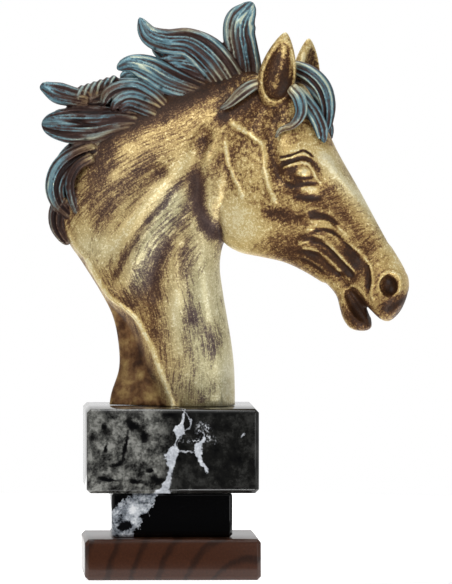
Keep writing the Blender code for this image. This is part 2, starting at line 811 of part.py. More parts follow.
def horse_head(foot_z, finish):
    body = tooled(worked_together(body_pieces(), CLAY_GRAIN, BODY_EASING))
    skin = worked_together([body, *hair_pieces()], CLAY_GRAIN, HAIR_EASING)
    lump = object_of("worked_lump", skin)
    thinned = lump.modifiers.new("thinned", "DECIMATE")
    triangles = sum(len(face.vertices) - 2 for face in lump.data.polygons)
    thinned.ratio = FIGURE_TRIANGLES / triangles
    skin = shape_of(lump)
    lay(skin, turned(coordinates(skin)))
    flat_foot(skin)
    bmesh.ops.scale(skin, vec=(SQUARE, SQUARE, SQUARE), verts=skin.verts)
    bmesh.ops.translate(skin, vec=(FIGURE_OFFSET, 0, foot_z), verts=skin.verts)
    obj = object_of("horse_head", skin)
    obj.data.shade_smooth()
    obj.data.materials.append(finish)
    return obj


def build():
    for obj in list(bpy.data.objects):
        bpy.data.objects.remove(obj)
    wood = material("walnut_stained_wood", (0.080, 0.035, 0.020), 0.45)
    marble = material("black_marble", (0.035, 0.035, 0.037), 0.15)
    bronze = material("antique_gold_resin", (0.48, 0.36, 0.18), 0.45, 0.3)
    waist_bottom = WOOD_HEIGHT + GLUE_GAP
    block_bottom = waist_bottom + WAIST_HEIGHT + GLUE_GAP
    foot_z = block_bottom + BLOCK_HEIGHT + GLUE_GAP
    slab("wooden_foot", WOOD_WIDTH, WOOD_DEPTH, WOOD_HEIGHT, 0.0, WOOD_CHAMFER, wood)
    slab("marble_waist", WAIST_WIDTH, WAIST_DEPTH, WAIST_HEIGHT, waist_bottom, WAIST_CHAMFER, marble)
    slab("marble_block", BLOCK_WIDTH, BLOCK_DEPTH, BLOCK_HEIGHT, block_bottom, BLOCK_CHAMFER, marble)
    horse_head(foot_z, bronze)


build()
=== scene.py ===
# %% [markdown]
# A horse trophy: a cast resin head with a flying mane, on two black marble blocks and a wooden foot.
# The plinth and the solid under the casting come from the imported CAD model. This lesson dresses them:
# it works the head again in much finer clay, paints it in coats, and gives stone and wood their finish.
# Everything is in metres, +Z is up, and the horse looks along +X.

# %% Load the frame
import math

import bmesh
import bpy
import numpy as np
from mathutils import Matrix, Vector
from mathutils.bvhtree import BVHTree


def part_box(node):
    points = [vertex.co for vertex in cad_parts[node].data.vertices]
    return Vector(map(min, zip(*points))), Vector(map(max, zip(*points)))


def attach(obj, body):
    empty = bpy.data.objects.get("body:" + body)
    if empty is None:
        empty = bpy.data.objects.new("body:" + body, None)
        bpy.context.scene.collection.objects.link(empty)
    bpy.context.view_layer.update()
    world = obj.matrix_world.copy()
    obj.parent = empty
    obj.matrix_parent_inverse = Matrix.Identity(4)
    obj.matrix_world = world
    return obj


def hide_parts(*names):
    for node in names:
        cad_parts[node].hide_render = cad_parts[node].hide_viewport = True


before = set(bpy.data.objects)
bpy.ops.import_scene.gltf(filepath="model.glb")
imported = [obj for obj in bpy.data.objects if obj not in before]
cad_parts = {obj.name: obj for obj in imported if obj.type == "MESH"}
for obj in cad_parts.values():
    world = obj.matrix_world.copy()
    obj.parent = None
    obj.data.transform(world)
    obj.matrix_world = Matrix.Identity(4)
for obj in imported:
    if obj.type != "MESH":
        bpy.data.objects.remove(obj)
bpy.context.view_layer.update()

# %% [markdown]
# The photograph is taken from nearly 5 m away, so its lines hardly converge. The camera stands 2 degrees
# left of the middle and 2 degrees above. It aims at the axis of the plinth, and a small shift puts
# the trophy in the frame as the photograph has it.

# %% Camera
VIEW_TURN = math.radians(2.0)
VIEW_DROP = math.radians(2.1)
VIEW_DISTANCE = 4.87
AIM = Vector((0, 0, 0.150))
METRES_PER_PIXEL = 0.00052
PICTURE = (452, 584)
AIM_PIXEL = (170.4, 287.4)
SENSOR = 36

camera = bpy.data.objects.new("camera", bpy.data.cameras.new("camera"))
bpy.context.scene.collection.objects.link(camera)
towards = Vector((
    math.sin(VIEW_TURN) * math.cos(VIEW_DROP),
    math.cos(VIEW_TURN) * math.cos(VIEW_DROP),
    -math.sin(VIEW_DROP),
))
camera.location = AIM - towards * VIEW_DISTANCE
camera.rotation_euler = towards.to_track_quat("-Z", "Y").to_euler()
camera.data.sensor_fit = "HORIZONTAL"
camera.data.sensor_width = SENSOR
camera.data.lens = SENSOR * VIEW_DISTANCE / METRES_PER_PIXEL / PICTURE[0]
camera.data.shift_x = (PICTURE[0] / 2 - AIM_PIXEL[0]) / PICTURE[0]
camera.data.shift_y = (AIM_PIXEL[1] - PICTURE[1] / 2) / PICTURE[0]
camera.data.clip_end = 20
bpy.context.scene.camera = camera
bpy.context.scene.view_settings.view_transform = "Standard"
print("lens", round(camera.data.lens), "mm")

# %% [markdown]
# The casting is drawn on squares, as a sculptor transfers a side view: 403 squares tall, x to the right
# and z down. The figure is first built straight and the same on both sides, because that is how
# a horse is made, and then bent round to the viewer: the foot a little, the head more.

# %% The drawing
# The first two are metres. All other lengths here and below are squares of the drawing.
FIGURE_HEIGHT = 0.2095
FIGURE_OFFSET = 0.0008
SQUARES_TALL = 403
SQUARE = FIGURE_HEIGHT / SQUARES_TALL
SQUARE_MM = SQUARE * 1000
FOOT_X = 172
FOOT_Z = 405
FOOT_TURN = math.radians(8)
HEAD_TURN = math.radians(20)
BEND_FROM = 0
BEND_TO = 90
BEND_REACH = 300
VIEW_FAR = 9400
VIEW_LEVEL = 117


def smoothstep(share):
    share = np.clip(share, 0, 1)
    return share * share * (3 - 2 * share)


def bend_table():
    """The midplane seen from above: distance along it, then its x, its y and its direction there."""
    along = np.linspace(-BEND_REACH, BEND_REACH, 2 * BEND_REACH + 1)
    share = smoothstep((along - BEND_FROM) / (BEND_TO - BEND_FROM))
    turn = FOOT_TURN + (HEAD_TURN - FOOT_TURN) * share
    step = along[1] - along[0]
    x = np.cumsum(np.cos(turn)) * step
    y = -np.cumsum(np.sin(turn)) * step
    middle = BEND_REACH
    return along, x - x[middle], y - y[middle], turn


BEND = bend_table()


def straight(seen_x, seen_z, y):
    """Where the straight figure has the point that the drawing shows at seen_x and seen_z.
    It lies y from the midplane, and is given as x, y and z from the foot, z up."""
    along, middle_x, middle_y, turn = BEND
    x = middle_x + y * np.sin(turn)
    depth = middle_y + y * np.cos(turn)
    ahead = x * math.sin(VIEW_TURN) + depth * math.cos(VIEW_TURN)
    shown = (x * math.cos(VIEW_TURN) - depth * math.sin(VIEW_TURN)) / (1 + ahead / VIEW_FAR)
    place = np.interp(seen_x - FOOT_X, shown, along)
    ahead = np.interp(place, along, ahead)
    rise = (FOOT_Z - seen_z - VIEW_LEVEL) * (1 + ahead / VIEW_FAR) - ahead * math.sin(VIEW_DROP)
    return float(place), y, float(VIEW_LEVEL + rise / math.cos(VIEW_DROP))


def turned(points):
    """Points of the straight figure bent round to the viewer."""
    along, x, y, turn = BEND
    angle = np.interp(points[:, 0], along, turn)
    bent = points.copy()
    bent[:, 0] = np.interp(points[:, 0], along, x) + points[:, 1] * np.sin(angle)
    bent[:, 1] = np.interp(points[:, 0], along, y) + points[:, 1] * np.cos(angle)
    return bent


def side_place(x, z):
    """A drawn point on the near side of the straight figure, as x and z."""
    place = straight(x, z, -30)
    return place[0], place[2]


print("one square is", round(SQUARE_MM, 3), "mm")

# %% [markdown]
# Every form is a flat grid of faces that is rolled up round a curve. Its two ends close to a point, and
# its seam is welded. Curves pass smoothly through the drawn points.

# %% Rolling up a form
WELD = 0.001


def flowing(points, steps):
    """A smooth curve through the rows of points, with steps pieces between each two."""
    rows = np.asarray(points, float)
    padded = np.vstack([2 * rows[0] - rows[1], rows, 2 * rows[-1] - rows[-2]])
    t = np.linspace(0, 1, steps, endpoint=False)[:, None]
    pieces = []
    for before, start, end, after in zip(padded, padded[1:], padded[2:], padded[3:]):
        bow = 2 * before - 5 * start + 4 * end - after
        pull = 3 * (start - end) + after - before
        pieces.append(start + 0.5 * t * (end - before + t * (bow + t * pull)))
    return np.vstack(pieces + [rows[-1:]])


def rolled(rings, marks=None):
    """A closed skin on an array of rings. marks, if given, are some numbers to keep at each point."""
    along, around = rings.shape[:2]
    skin = bmesh.new()
    bmesh.ops.create_grid(skin, x_segments=along - 1, y_segments=around, size=0.5)
    layers = [] if marks is None else [skin.verts.layers.float.new(name) for name in MARKS]
    for vert in skin.verts:
        ring = round((vert.co.x + 0.5) * (along - 1))
        place = round((vert.co.y + 0.5) * around) % around
        vert.co = rings[ring, place]
        for number, layer in enumerate(layers):
            vert[layer] = marks[ring, place, number]
    bmesh.ops.remove_doubles(skin, verts=skin.verts, dist=WELD)
    bmesh.ops.recalc_face_normals(skin, faces=skin.faces)
    return skin


def rounding(share, start, end):
    """How wide a form is along its length when its first and last parts are rounded off."""
    head = np.clip(1 - share / start, 0, 1)
    tail = np.clip((share - 1 + end) / end, 0, 1)
    return np.sqrt(1 - head**2) * np.sqrt(1 - tail**2)


def body_form(stations, start, end, steps=6, around=96):
    """A limb of the figure: each station gives its front point, its back point, half its thickness,
    how much wider it is towards the front, and how square it is."""
    rows = []
    for front, back, thick, lean, square in stations:
        rows.append((*front, *back, thick, lean, square))
    track = flowing(rows, steps)
    angle = np.linspace(0, 2 * np.pi, around, endpoint=False)
    size = rounding(np.linspace(0, 1, len(track)), start, end)
    rings = np.zeros((len(track), around, 3))
    for ring, row, scale in zip(rings, track, size):
        middle = (row[0:2] + row[2:4]) / 2
        reach = (row[0:2] - row[2:4]) / 2 * scale
        cosine = np.sign(np.cos(angle)) * np.abs(np.cos(angle)) ** (2 / row[6])
        sine = np.sign(np.sin(angle)) * np.abs(np.sin(angle)) ** (2 / row[6])
        ring[:, 0] = middle[0] + reach[0] * cosine
        ring[:, 2] = middle[1] + reach[1] * cosine
        ring[:, 1] = row[4] * scale * sine * (1 + row[5] * cosine)
    return rolled(rings)


def straightened(stations):
    """Stations with their drawn points moved to the straight figure."""
    made = []
    for front, back, thick, lean, square in stations:
        front_x, _, front_z = straight(*front, 0)
        back_x, _, back_z = straight(*back, 0)
        made.append(((front_x, front_z), (back_x, back_z), thick, lean, square))
    return made

# %% [markdown]
# Clay is added in eggs, taken away with eggs, and then all of it is worked together. Voxel remeshing does
# that last step: it fills the forms with small cells and skins them, so that no seam is left.

# %% From mesh to object and back
def object_of(name, skin):
    mesh = bpy.data.meshes.new(name)
    skin.to_mesh(mesh)
    skin.free()
    obj = bpy.data.objects.new(name, mesh)
    bpy.context.scene.collection.objects.link(obj)
    return obj


def shape_of(obj):
    """The object's mesh with its modifiers applied, as a new bmesh, and the object removed."""
    bpy.context.view_layer.update()
    evaluated = obj.evaluated_get(bpy.context.evaluated_depsgraph_get())
    mesh = evaluated.to_mesh()
    skin = bmesh.new()
    skin.from_mesh(mesh)
    evaluated.to_mesh_clear()
    plain = obj.data
    bpy.data.objects.remove(obj)
    bpy.data.meshes.remove(plain)
    return skin

# %% Adding and taking away
def mirrored(skin):
    """The same form on the far side of the midplane."""
    other = skin.copy()
    bmesh.ops.scale(other, vec=(1, -1, 1), verts=other.verts)
    bmesh.ops.reverse_faces(other, faces=other.faces)
    return other


def pebble(x, z, y, radii, tilt=0.0):
    """An egg of clay at a side-view place, from its half lengths along x, y and z and its tilt there."""
    egg = bmesh.new()
    bmesh.ops.create_icosphere(egg, subdivisions=5, radius=1)
    co = np.array([vert.co for vert in egg.verts]) * radii
    cosine, sine = math.cos(tilt), math.sin(tilt)
    middle = straight(x, z, y)
    placed = co + middle
    placed[:, 0] = middle[0] + co[:, 0] * cosine - co[:, 2] * sine
    placed[:, 2] = middle[2] + co[:, 0] * sine + co[:, 2] * cosine
    for vert, place in zip(egg.verts, placed):
        vert.co = place
    return egg


def hollowed(skin, cutters):
    """The skin with each cutter's form taken out of it."""
    body = object_of("body_to_cut", skin)
    tools = [object_of(f"cutter_{index}", cutter) for index, cutter in enumerate(cutters)]
    for tool in tools:
        cut = body.modifiers.new("cut", "BOOLEAN")
        cut.operation = "DIFFERENCE"
        cut.solver = "EXACT"
        cut.object = tool
    left = shape_of(body)
    for tool in tools:
        plain = tool.data
        bpy.data.objects.remove(tool)
        bpy.data.meshes.remove(plain)
    return left


def joined(pieces):
    lump = bmesh.new()
    for piece in pieces:
        mesh = bpy.data.meshes.new("piece")
        piece.to_mesh(mesh)
        lump.from_mesh(mesh)
        bpy.data.meshes.remove(mesh)
    return lump

# %% Working together
EASE = 0.5


def largest_shell(skin):
    """The skin without the small closed bubbles that can be left between strands."""
    left = set(skin.verts)
    shells = []
    while left:
        seed = left.pop()
        shell = {seed}
        edge = [seed]
        while edge:
            reached = []
            for vert in edge:
                for link in vert.link_edges:
                    other = link.other_vert(vert)
                    if other in left:
                        left.remove(other)
                        shell.add(other)
                        reached.append(other)
            edge = reached
        shells.append(shell)
    shells.sort(key=len, reverse=True)
    for shell in shells[1:]:
        bmesh.ops.delete(skin, geom=list(shell), context="VERTS")
    return skin


def worked_together(pieces, grain, easing):
    """All the pieces of clay as one body, its skin eased the given number of times."""
    obj = object_of("lump", joined(pieces))
    fused = obj.modifiers.new("fused", "REMESH")
    fused.mode = "VOXEL"
    fused.voxel_size = grain
    fused.adaptivity = 0
    eased = obj.modifiers.new("eased", "SMOOTH")
    eased.factor = EASE
    eased.iterations = easing
    return largest_shell(shape_of(obj))


def coordinates(skin):
    return np.array([vert.co for vert in skin.verts])


def lay(skin, co):
    for vert, place in zip(skin.verts, co):
        vert.co = place

# %% [markdown]
# The neck and the head are limbs: a row of stations, each with its front and back point on the drawing,
# how thick it is, how much wider towards the front, and how square. A smooth skin runs through them.
# Neck, skull, muzzle and lower jaw overlap, so that the remesh makes one form of them.

# %% Stations of the neck and head
# Neck: front point, back point, half thickness, lean, squareness
NECK = [
    ((234, 418), (108, 418), 33, 0.20, 2.1),
    ((234, 394), (111, 394), 33, 0.20, 2.1),
    ((233, 368), (119, 368), 33, 0.20, 2.1),
    ((230, 342), (118, 340), 34, 0.20, 2.1),
    ((226, 318), (112, 314), 35, 0.20, 2.1),
    ((222, 294), (99, 289), 36, 0.20, 2.1),
    ((219, 268), (82, 262), 37, 0.22, 2.1),
    ((222, 246), (66, 236), 38, 0.26, 2.1),
    ((232, 222), (64, 202), 37, 0.30, 2.1),
    ((246, 200), (76, 166), 36, 0.32, 2.1),
    ((258, 180), (98, 134), 35, 0.32, 2.1),
    ((270, 160), (130, 108), 34, 0.30, 2.1),
    ((281, 140), (168, 88), 32, 0.28, 2.1),
    ((288, 118), (208, 75), 29, 0.20, 2.1),
    ((290, 98), (244, 70), 24, 0.10, 2.1),
    ((288, 84), (266, 74), 18, 0.0, 2.1),
]

# Head: forehead or nose point, jaw point, half thickness, lean, squareness
HEAD = [
    ((288, 72), (240, 112), 20, 0.0, 2.2),
    ((303, 84), (220, 142), 28, 0.0, 2.2),
    ((315, 104), (211, 176), 33, 0.0, 2.2),
    ((325, 127), (212, 212), 36, 0.05, 2.3),
    ((334, 148), (223, 240), 37, 0.08, 2.4),
    ((345, 168), (240, 252), 35, 0.05, 2.4),
    ((356, 187), (262, 257), 30, 0.05, 2.3),
    ((367, 206), (284, 262), 26, 0.0, 2.2),
    ((377, 224), (302, 270), 23, 0.0, 2.2),
    ((386, 240), (319, 280), 21, 0.0, 2.2),
    ((391, 250), (328, 286), 20, 0.0, 2.2),
]

MUZZLE = [
    ((384, 236), (330, 268), 19, 0.0, 2.2),
    ((394, 252), (338, 280), 21, 0.0, 2.2),
    ((403, 268), (350, 291), 22, 0.05, 2.3),
    ((407, 281), (361, 300), 22, 0.05, 2.3),
    ((406, 296), (370, 308), 20, 0.0, 2.3),
    ((401, 308), (378, 316), 17, 0.0, 2.3),
    ((393, 320), (386, 323), 10, 0.0, 2.2),
]

LOWER_JAW = [
    ((346, 260), (322, 279), 16, 0.0, 2.2),
    ((354, 276), (331, 287), 17, 0.0, 2.2),
    ((359, 290), (338, 296), 17, 0.0, 2.2),
    ((364, 302), (341, 307), 17, 0.0, 2.2),
    ((368, 313), (344, 318), 16, 0.0, 2.2),
    ((371, 324), (351, 328), 13, 0.0, 2.2),
    ((371, 330), (362, 332), 8, 0.0, 2.2),
]

print("stations", len(NECK), "of the neck,", len(HEAD) + len(MUZZLE) + len(LOWER_JAW), "of the head")

# %% [markdown]
# The details of the face and the long muscles of the neck are strokes of the modelling tool: a line on
# the side view, half its width, and how high it stands or how deep it goes. Both sides get the same.

# %% Strokes of the modelling tool
STROKES = {
    "valley_behind_cheek": (8.5, -5.8, [(211, 128), (202, 150), (200, 185), (202, 211), (211, 236)]),
    "cheek_edge": (3.0, 1.7, [
        (230, 121), (245, 131), (256, 139), (263, 144), (266, 154), (267, 168), (270, 182), (275, 196),
        (279, 205),
    ]),
    "cheek_vein": (2.4, 1.1, [(227, 140), (228, 157), (232, 171), (239, 185), (245, 200)]),
    "cheek_hollow": (7, -2.6, [(262, 214), (279, 214), (296, 218), (308, 222)]),
    "temple_hollow": (8, -4.0, [(277, 106), (272, 123), (271, 141), (274, 160), (281, 178)]),
    "nose_side": (9, -3.6, [(320, 184), (334, 200), (348, 220), (362, 240), (374, 256)]),
    "nose_crest": (3.2, 1.5, [
        (320, 155), (330, 168), (345, 188), (358, 205), (372, 226), (385, 246), (396, 262),
    ]),
    "jowl_fill": (6, 2.2, [(221, 174), (221, 192), (222, 212), (226, 230)]),
    "brow": (1.0, 1.1, [(281, 160), (291, 158), (298.6, 154.8), (305, 154), (311, 157.5), (314, 162)]),
    "brow_crease": (1.0, -1.6, [
        (281, 157.5), (289, 156), (295, 154), (300, 151.6), (304.5, 150.8), (312, 157),
    ]),
    "brow_fold": (1.8, -2.0, [(282, 164), (290, 162), (298, 159), (305, 158.3), (311, 161)]),
    "eye_corner_hollow": (5, -2.2, [(276, 168), (280, 176), (288, 183)]),
    "upper_lid": (1.0, 1.8, [
        (284, 168), (288, 166.8), (294, 164.4), (300.4, 163.2), (306.3, 163.5), (311, 166.8), (314, 173),
        (316.5, 179), (321, 185.5),
    ]),
    "lower_lid": (1.0, 0.8, [(303, 182), (308, 180.6), (312, 180), (316, 182)]),
    "under_eye": (1.8, -1.4, [(286, 182), (297, 186), (308, 184), (318, 184)]),
    "eye_pad": (3.8, 1.0, [(300, 189), (310, 188), (320, 188)]),
    "under_pad": (2.2, -1.3, [(296, 197), (309, 199), (322, 198)]),
    "wrinkle_1": (2.3, 1.3, [(305, 214), (311, 209), (322, 211), (331, 217), (342, 227)]),
    "wrinkle_1_low": (1.7, -2.0, [(309, 217), (324, 217), (336, 226)]),
    "wrinkle_2": (2.5, 1.4, [
        (305, 232), (313, 226), (325, 226), (336, 231), (344, 239), (356, 250), (363, 261),
    ]),
    "wrinkle_2_low": (1.6, -2.1, [(313, 231), (326, 231), (336, 237), (347, 248), (356, 260)]),
    "wrinkle_3": (2.4, 1.3, [
        (297, 244), (307, 237), (318, 237), (327, 243), (333, 250), (343, 262), (354, 273),
    ]),
    "wrinkle_3_low": (1.6, -2.0, [(308, 242), (319, 243), (328, 250), (340, 264), (350, 276)]),
    "wrinkle_4": (2.2, 1.1, [(300, 248), (311, 248), (321, 254), (330, 262), (340, 273), (348, 281)]),
    "wrinkle_4_low": (1.5, -1.8, [(304, 253), (315, 256), (326, 266), (337, 277)]),
    "wrinkle_5": (2.0, 1.0, [(294, 254), (306, 259), (316, 265), (326, 273), (335, 281)]),
    "wrinkle_5_low": (1.7, -1.3, [(297, 259), (309, 265), (320, 273)]),
    "nostril_groove": (2.4, -2.4, [(364, 264), (366, 276), (365, 290)]),
    "nostril_fold": (1.8, 1.8, [(361, 256), (368, 268), (371, 281), (369, 293), (372, 302)]),
    "nostril_rim": (1.6, 1.9, [
        (378, 279), (382, 274), (388, 273), (394, 277), (396, 285), (394, 293), (388, 297), (381, 295),
        (377, 288), (378, 279),
    ]),
    "lip_crease": (1.6, -1.5, [(401, 293), (397, 300), (391, 306), (384, 311)]),
    "mouth_edge": (1.6, 1.5, [(343, 295), (343, 290), (349, 286), (356, 289), (361, 295), (365, 302)]),
    "lower_lip": (1.6, 1.4, [(342, 293), (348, 304), (356, 316), (366, 327)]),
    "jugular": (10, -4.5, [(200, 160), (192, 185), (188, 215), (188, 250), (190, 290), (192, 325)]),
    "windpipe": (12, 1.2, [(212, 262), (211, 300), (214, 345), (218, 385)]),
    "neck_muscle": (9, 4.4, [(212, 150), (190, 185), (168, 212), (146, 240), (126, 275), (118, 296)]),
    "shoulder_band": (8, -3.8, [(186, 215), (168, 245), (156, 275), (150, 305)]),
    "crest_band": (8, -3.4, [(168, 165), (142, 196), (118, 232), (100, 268)]),
}

# The rim of the cut at the back of the bust, with the plain hollow behind it
CUT_RIM = [
    (63, 218), (67, 234), (75, 248), (84, 258), (93, 275), (103, 291), (112, 300), (124, 308), (136, 319),
    (146, 336), (154, 353), (160, 370), (167, 387), (173, 404), (174, 416),
]
CUT_RIM_STROKE = (1.9, 2.2)
print(len(STROKES), "strokes, and a rim of", len(CUT_RIM), "points")

# %% Working the strokes into the clay
CUT_DEPTH = 11
CUT_WIDTH = 16
FADE_LENGTH = 2.5
BLUNT_END = 0.25
STROKE_REACH = 3
STEPS_IN_A_LINE = 4
FACING_GAIN = 1.6
FACING_LOSS = 0.15
MOST_HOLLOW = 0.5


def distance_to(points, line):
    """How far each point is from a line of straight pieces, which side of it (above zero to its left),
    and how far from the nearer end of the line the closest place on it is."""
    best = np.full(len(points), np.inf)
    side = np.zeros(len(points))
    passed = np.zeros(len(points))
    before = 0
    for start, end in zip(line, line[1:]):
        way = end - start
        length = np.linalg.norm(way)
        out = points - start
        share = np.clip(out @ way / length**2, 0, 1)
        gap = np.linalg.norm(out - np.outer(share, way), axis=1)
        turn = way[0] * out[:, 1] - way[1] * out[:, 0]
        closer = gap < best
        best[closer] = gap[closer]
        side[closer] = np.sign(turn[closer])
        passed[closer] = before + share[closer] * length
        before += length
    return best, side, np.minimum(passed, before - passed)


def drawn_line(points):
    """A smooth line through drawn points of the near side, as x and z of the straight figure."""
    return flowing([side_place(x, z) for x, z in points], STEPS_IN_A_LINE)


def stroke_on(place, half_width, points):
    """How strongly a stroke touches each place, from 0 to 1, fading out at its two ends."""
    line = drawn_line(points)
    reach = np.ptp(line, axis=0).max() + STROKE_REACH * half_width
    near = np.abs(place - line.mean(axis=0)).max(axis=1) < reach
    gap, _, from_end = distance_to(place[near], line)
    touch = np.zeros(len(place))
    touch[near] = np.exp(-((gap / half_width) ** 2))
    if points[0] != points[-1]:
        touch[near] *= smoothstep(from_end / (FADE_LENGTH * half_width) + BLUNT_END)
    return touch


def behind_rim(place):
    """How far a place lies in the hollow back of the bust, from 0 at the rim to 1."""
    rim = drawn_line(CUT_RIM)
    gap, side, _ = distance_to(place, rim)
    return smoothstep(np.where(side < 0, gap, 0) / CUT_WIDTH) * (place[:, 1] < rim[0, 1] + CUT_WIDTH)


def tooled(skin):
    """Works the strokes into both sides of the body, and hollows the back of the bust behind its rim."""
    co = coordinates(skin)
    skin.normal_update()
    normals = np.array([vert.normal for vert in skin.verts])
    facing = np.clip(np.abs(normals[:, 1]) * FACING_GAIN - FACING_LOSS, 0, 1)
    place = co[:, [0, 2]]
    moved = np.zeros(len(co))
    for half_width, height, points in STROKES.values():
        moved += height * stroke_on(place, half_width, points)
    gap, _, _ = distance_to(place, drawn_line(CUT_RIM))
    half_width, height = CUT_RIM_STROKE
    moved += height * np.exp(-((gap / half_width) ** 2))
    co += normals * (moved * facing)[:, None]
    hollow = np.minimum(CUT_DEPTH * behind_rim(place), np.abs(co[:, 1]) * MOST_HOLLOW)
    co[:, 1] -= np.sign(co[:, 1]) * hollow
    lay(skin, co)
    return skin

# %% [markdown]
# An ear is a leaf-shaped shell with a smaller leaf taken out of it on the side that it opens to.

# %% Ears, eyes, mouth and nostrils
NEAR_EAR = {"tip": (286, 31), "base": (271, 108), "half_width": 19, "opening": -62, "y": (-25, -27)}
FAR_EAR = {"tip": (309, 37), "base": (304, 108), "half_width": 18, "opening": -20, "y": (25, 27)}
EYEBALL = {"x": 302, "z": 172.5, "y": -29, "radii": (11, 8.5, 7.5)}
NOSTRIL = {"x": 388, "z": 286.5, "y": -22, "radii": (9.5, 13, 12), "tilt": math.radians(10)}
MOUTH = {"x": 357, "z": 307, "y": -17, "radii": (21, 13, 8.5), "tilt": math.radians(-57)}
EAR_RINGS = 25
EAR_AROUND = 48
LEAF_FULLNESS = 0.72
EAR_FLATNESS = 0.72
EAR_HOLLOW = {"scale": 0.80, "low": 0.10, "high": 0.92}
HOLLOW_FORWARD = 0.42


def ear(tip, base, half_width, opening, y):
    """A leaf-shaped ear: a pointed shell hollowed towards its opening, degrees from straight ahead."""
    shares = np.linspace(0, 1, EAR_RINGS)
    foot = np.array(straight(*base, y[0]))
    top = np.array(straight(*tip, y[1]))
    axis = top - foot
    turn = math.radians(opening)
    facing = np.array([math.cos(turn), math.sin(turn), 0])
    facing -= axis * facing.dot(axis) / axis.dot(axis)
    facing /= np.linalg.norm(facing)
    side = np.cross(axis / np.linalg.norm(axis), facing)
    leaf = np.sin(np.pi * shares**LEAF_FULLNESS) ** LEAF_FULLNESS * half_width

    def shell(scale, forward, low, high):
        angle = np.linspace(0, 2 * np.pi, EAR_AROUND, endpoint=False)
        rings = []
        for share, half in zip(shares, leaf):
            lifted = low + (high - low) * share
            out = np.outer(np.cos(angle), side) * half * scale
            deep = np.outer(np.sin(angle), facing) * half * scale * EAR_FLATNESS
            rings.append(foot + axis * lifted + facing * forward + out + deep)
        return rolled(np.array(rings))

    outer = shell(scale=1.0, forward=0.0, low=0.0, high=1.0)
    inner = shell(forward=half_width * HOLLOW_FORWARD, **EAR_HOLLOW)
    return hollowed(outer, [inner])


def body_pieces():
    """The neck, the head with its open mouth and nostrils, the ears and the eyes."""
    muzzle = body_form(straightened(MUZZLE), start=0.1, end=0.10)
    jaw = body_form(straightened(LOWER_JAW), start=0.1, end=0.12)
    corner = pebble(**MOUTH)
    nostril = pebble(**NOSTRIL)
    eyeball = pebble(**EYEBALL)
    return [
        body_form(straightened(NECK), start=0.01, end=0.05),
        body_form(straightened(HEAD), start=0.12, end=0.06),
        hollowed(muzzle, [mirrored(nostril), nostril, mirrored(corner), corner.copy()]),
        hollowed(jaw, [mirrored(corner), corner]),
        ear(**NEAR_EAR),
        ear(**FAR_EAR),
        mirrored(eyeball),
        eyeball,
    ]

# %% [markdown]
# Each lock of the mane is a flat, tapering form whose two broad faces are ribbed into strands. Every
# point of a lock also keeps how high its rib stands and how far along and across the lock it lies.
# The paint needs these later, because a painter follows the strands.

# %% A lock of hair
ROOT_ROUNDING = 0.05
TIP_ROUNDING = 0.10
STRAND_DRIFT = 0.05
STRAND_UNEVENNESS = 0.18
WAVES_ACROSS = 2.6
WAVE_START = 1.7
WAVE_SHIFT = 1.5
FINE_STRANDS = 2.6
FINE_SHARE = 0.28
LOCK_FULLNESS = 0.8
MARKS = ("rib", "share", "along", "across", "lock")


def lock_of_hair(points, strands, thick, y_root, y_tip, groove=0.72, around=128, steps=9):
    """A tapering lock. Each point gives its place on the side view and half its width there."""
    y = np.linspace(y_root, y_tip, len(points))
    rows = [(*straight(x, z, at), half) for (x, z, half), at in zip(points, y)]
    track = flowing(rows, steps)
    share = np.linspace(0, 1, len(track))
    size = rounding(share, ROOT_ROUNDING, TIP_ROUNDING)
    tangent = np.gradient(track[:, [0, 2]], axis=0)
    step = np.linalg.norm(tangent, axis=1)
    tangent /= step[:, None]
    angle = np.linspace(0, 2 * np.pi, around, endpoint=False)
    across, bulge = np.cos(angle), np.sin(angle)
    rings = np.zeros((len(track), around, 3))
    marks = np.zeros((len(track), around, len(MARKS)))
    along = np.cumsum(step)
    for ring, mark, row, way, scale, at, far in zip(rings, marks, track, tangent, size, share, along):
        drift = STRAND_DRIFT * np.sin(2 * np.pi * at + strands)
        wave = WAVES_ACROSS * np.pi * across + WAVE_START * strands + WAVE_SHIFT * at
        drift += STRAND_UNEVENNESS * np.sin(wave)
        strand = np.pi / 2 * strands * (across + drift * (1 - across**2))
        rib = (1 - FINE_SHARE) * np.abs(np.cos(strand)) + FINE_SHARE * np.abs(np.cos(FINE_STRANDS * strand))
        depth = np.sign(bulge) * np.abs(bulge) ** LOCK_FULLNESS * (1 - groove * (1 - rib))
        ring[:, 0] = row[0] - way[1] * row[3] * scale * across
        ring[:, 2] = row[2] + way[0] * row[3] * scale * across
        ring[:, 1] = row[1] + thick * row[3] * scale * depth
        mark[:, 0] = rib
        mark[:, 1] = at
        mark[:, 2] = far
        mark[:, 3] = row[3] * across
        mark[:, 4] = points[0][0] + points[0][1]
    return rolled(rings, marks)

# %% [markdown]
# The mane flies back in big tufts, falls in thin locks behind the neck, and hangs as a forelock between
# the ears. The locks rise from a low bed of hair. The side away from the viewer has fewer and plainer
# ones.

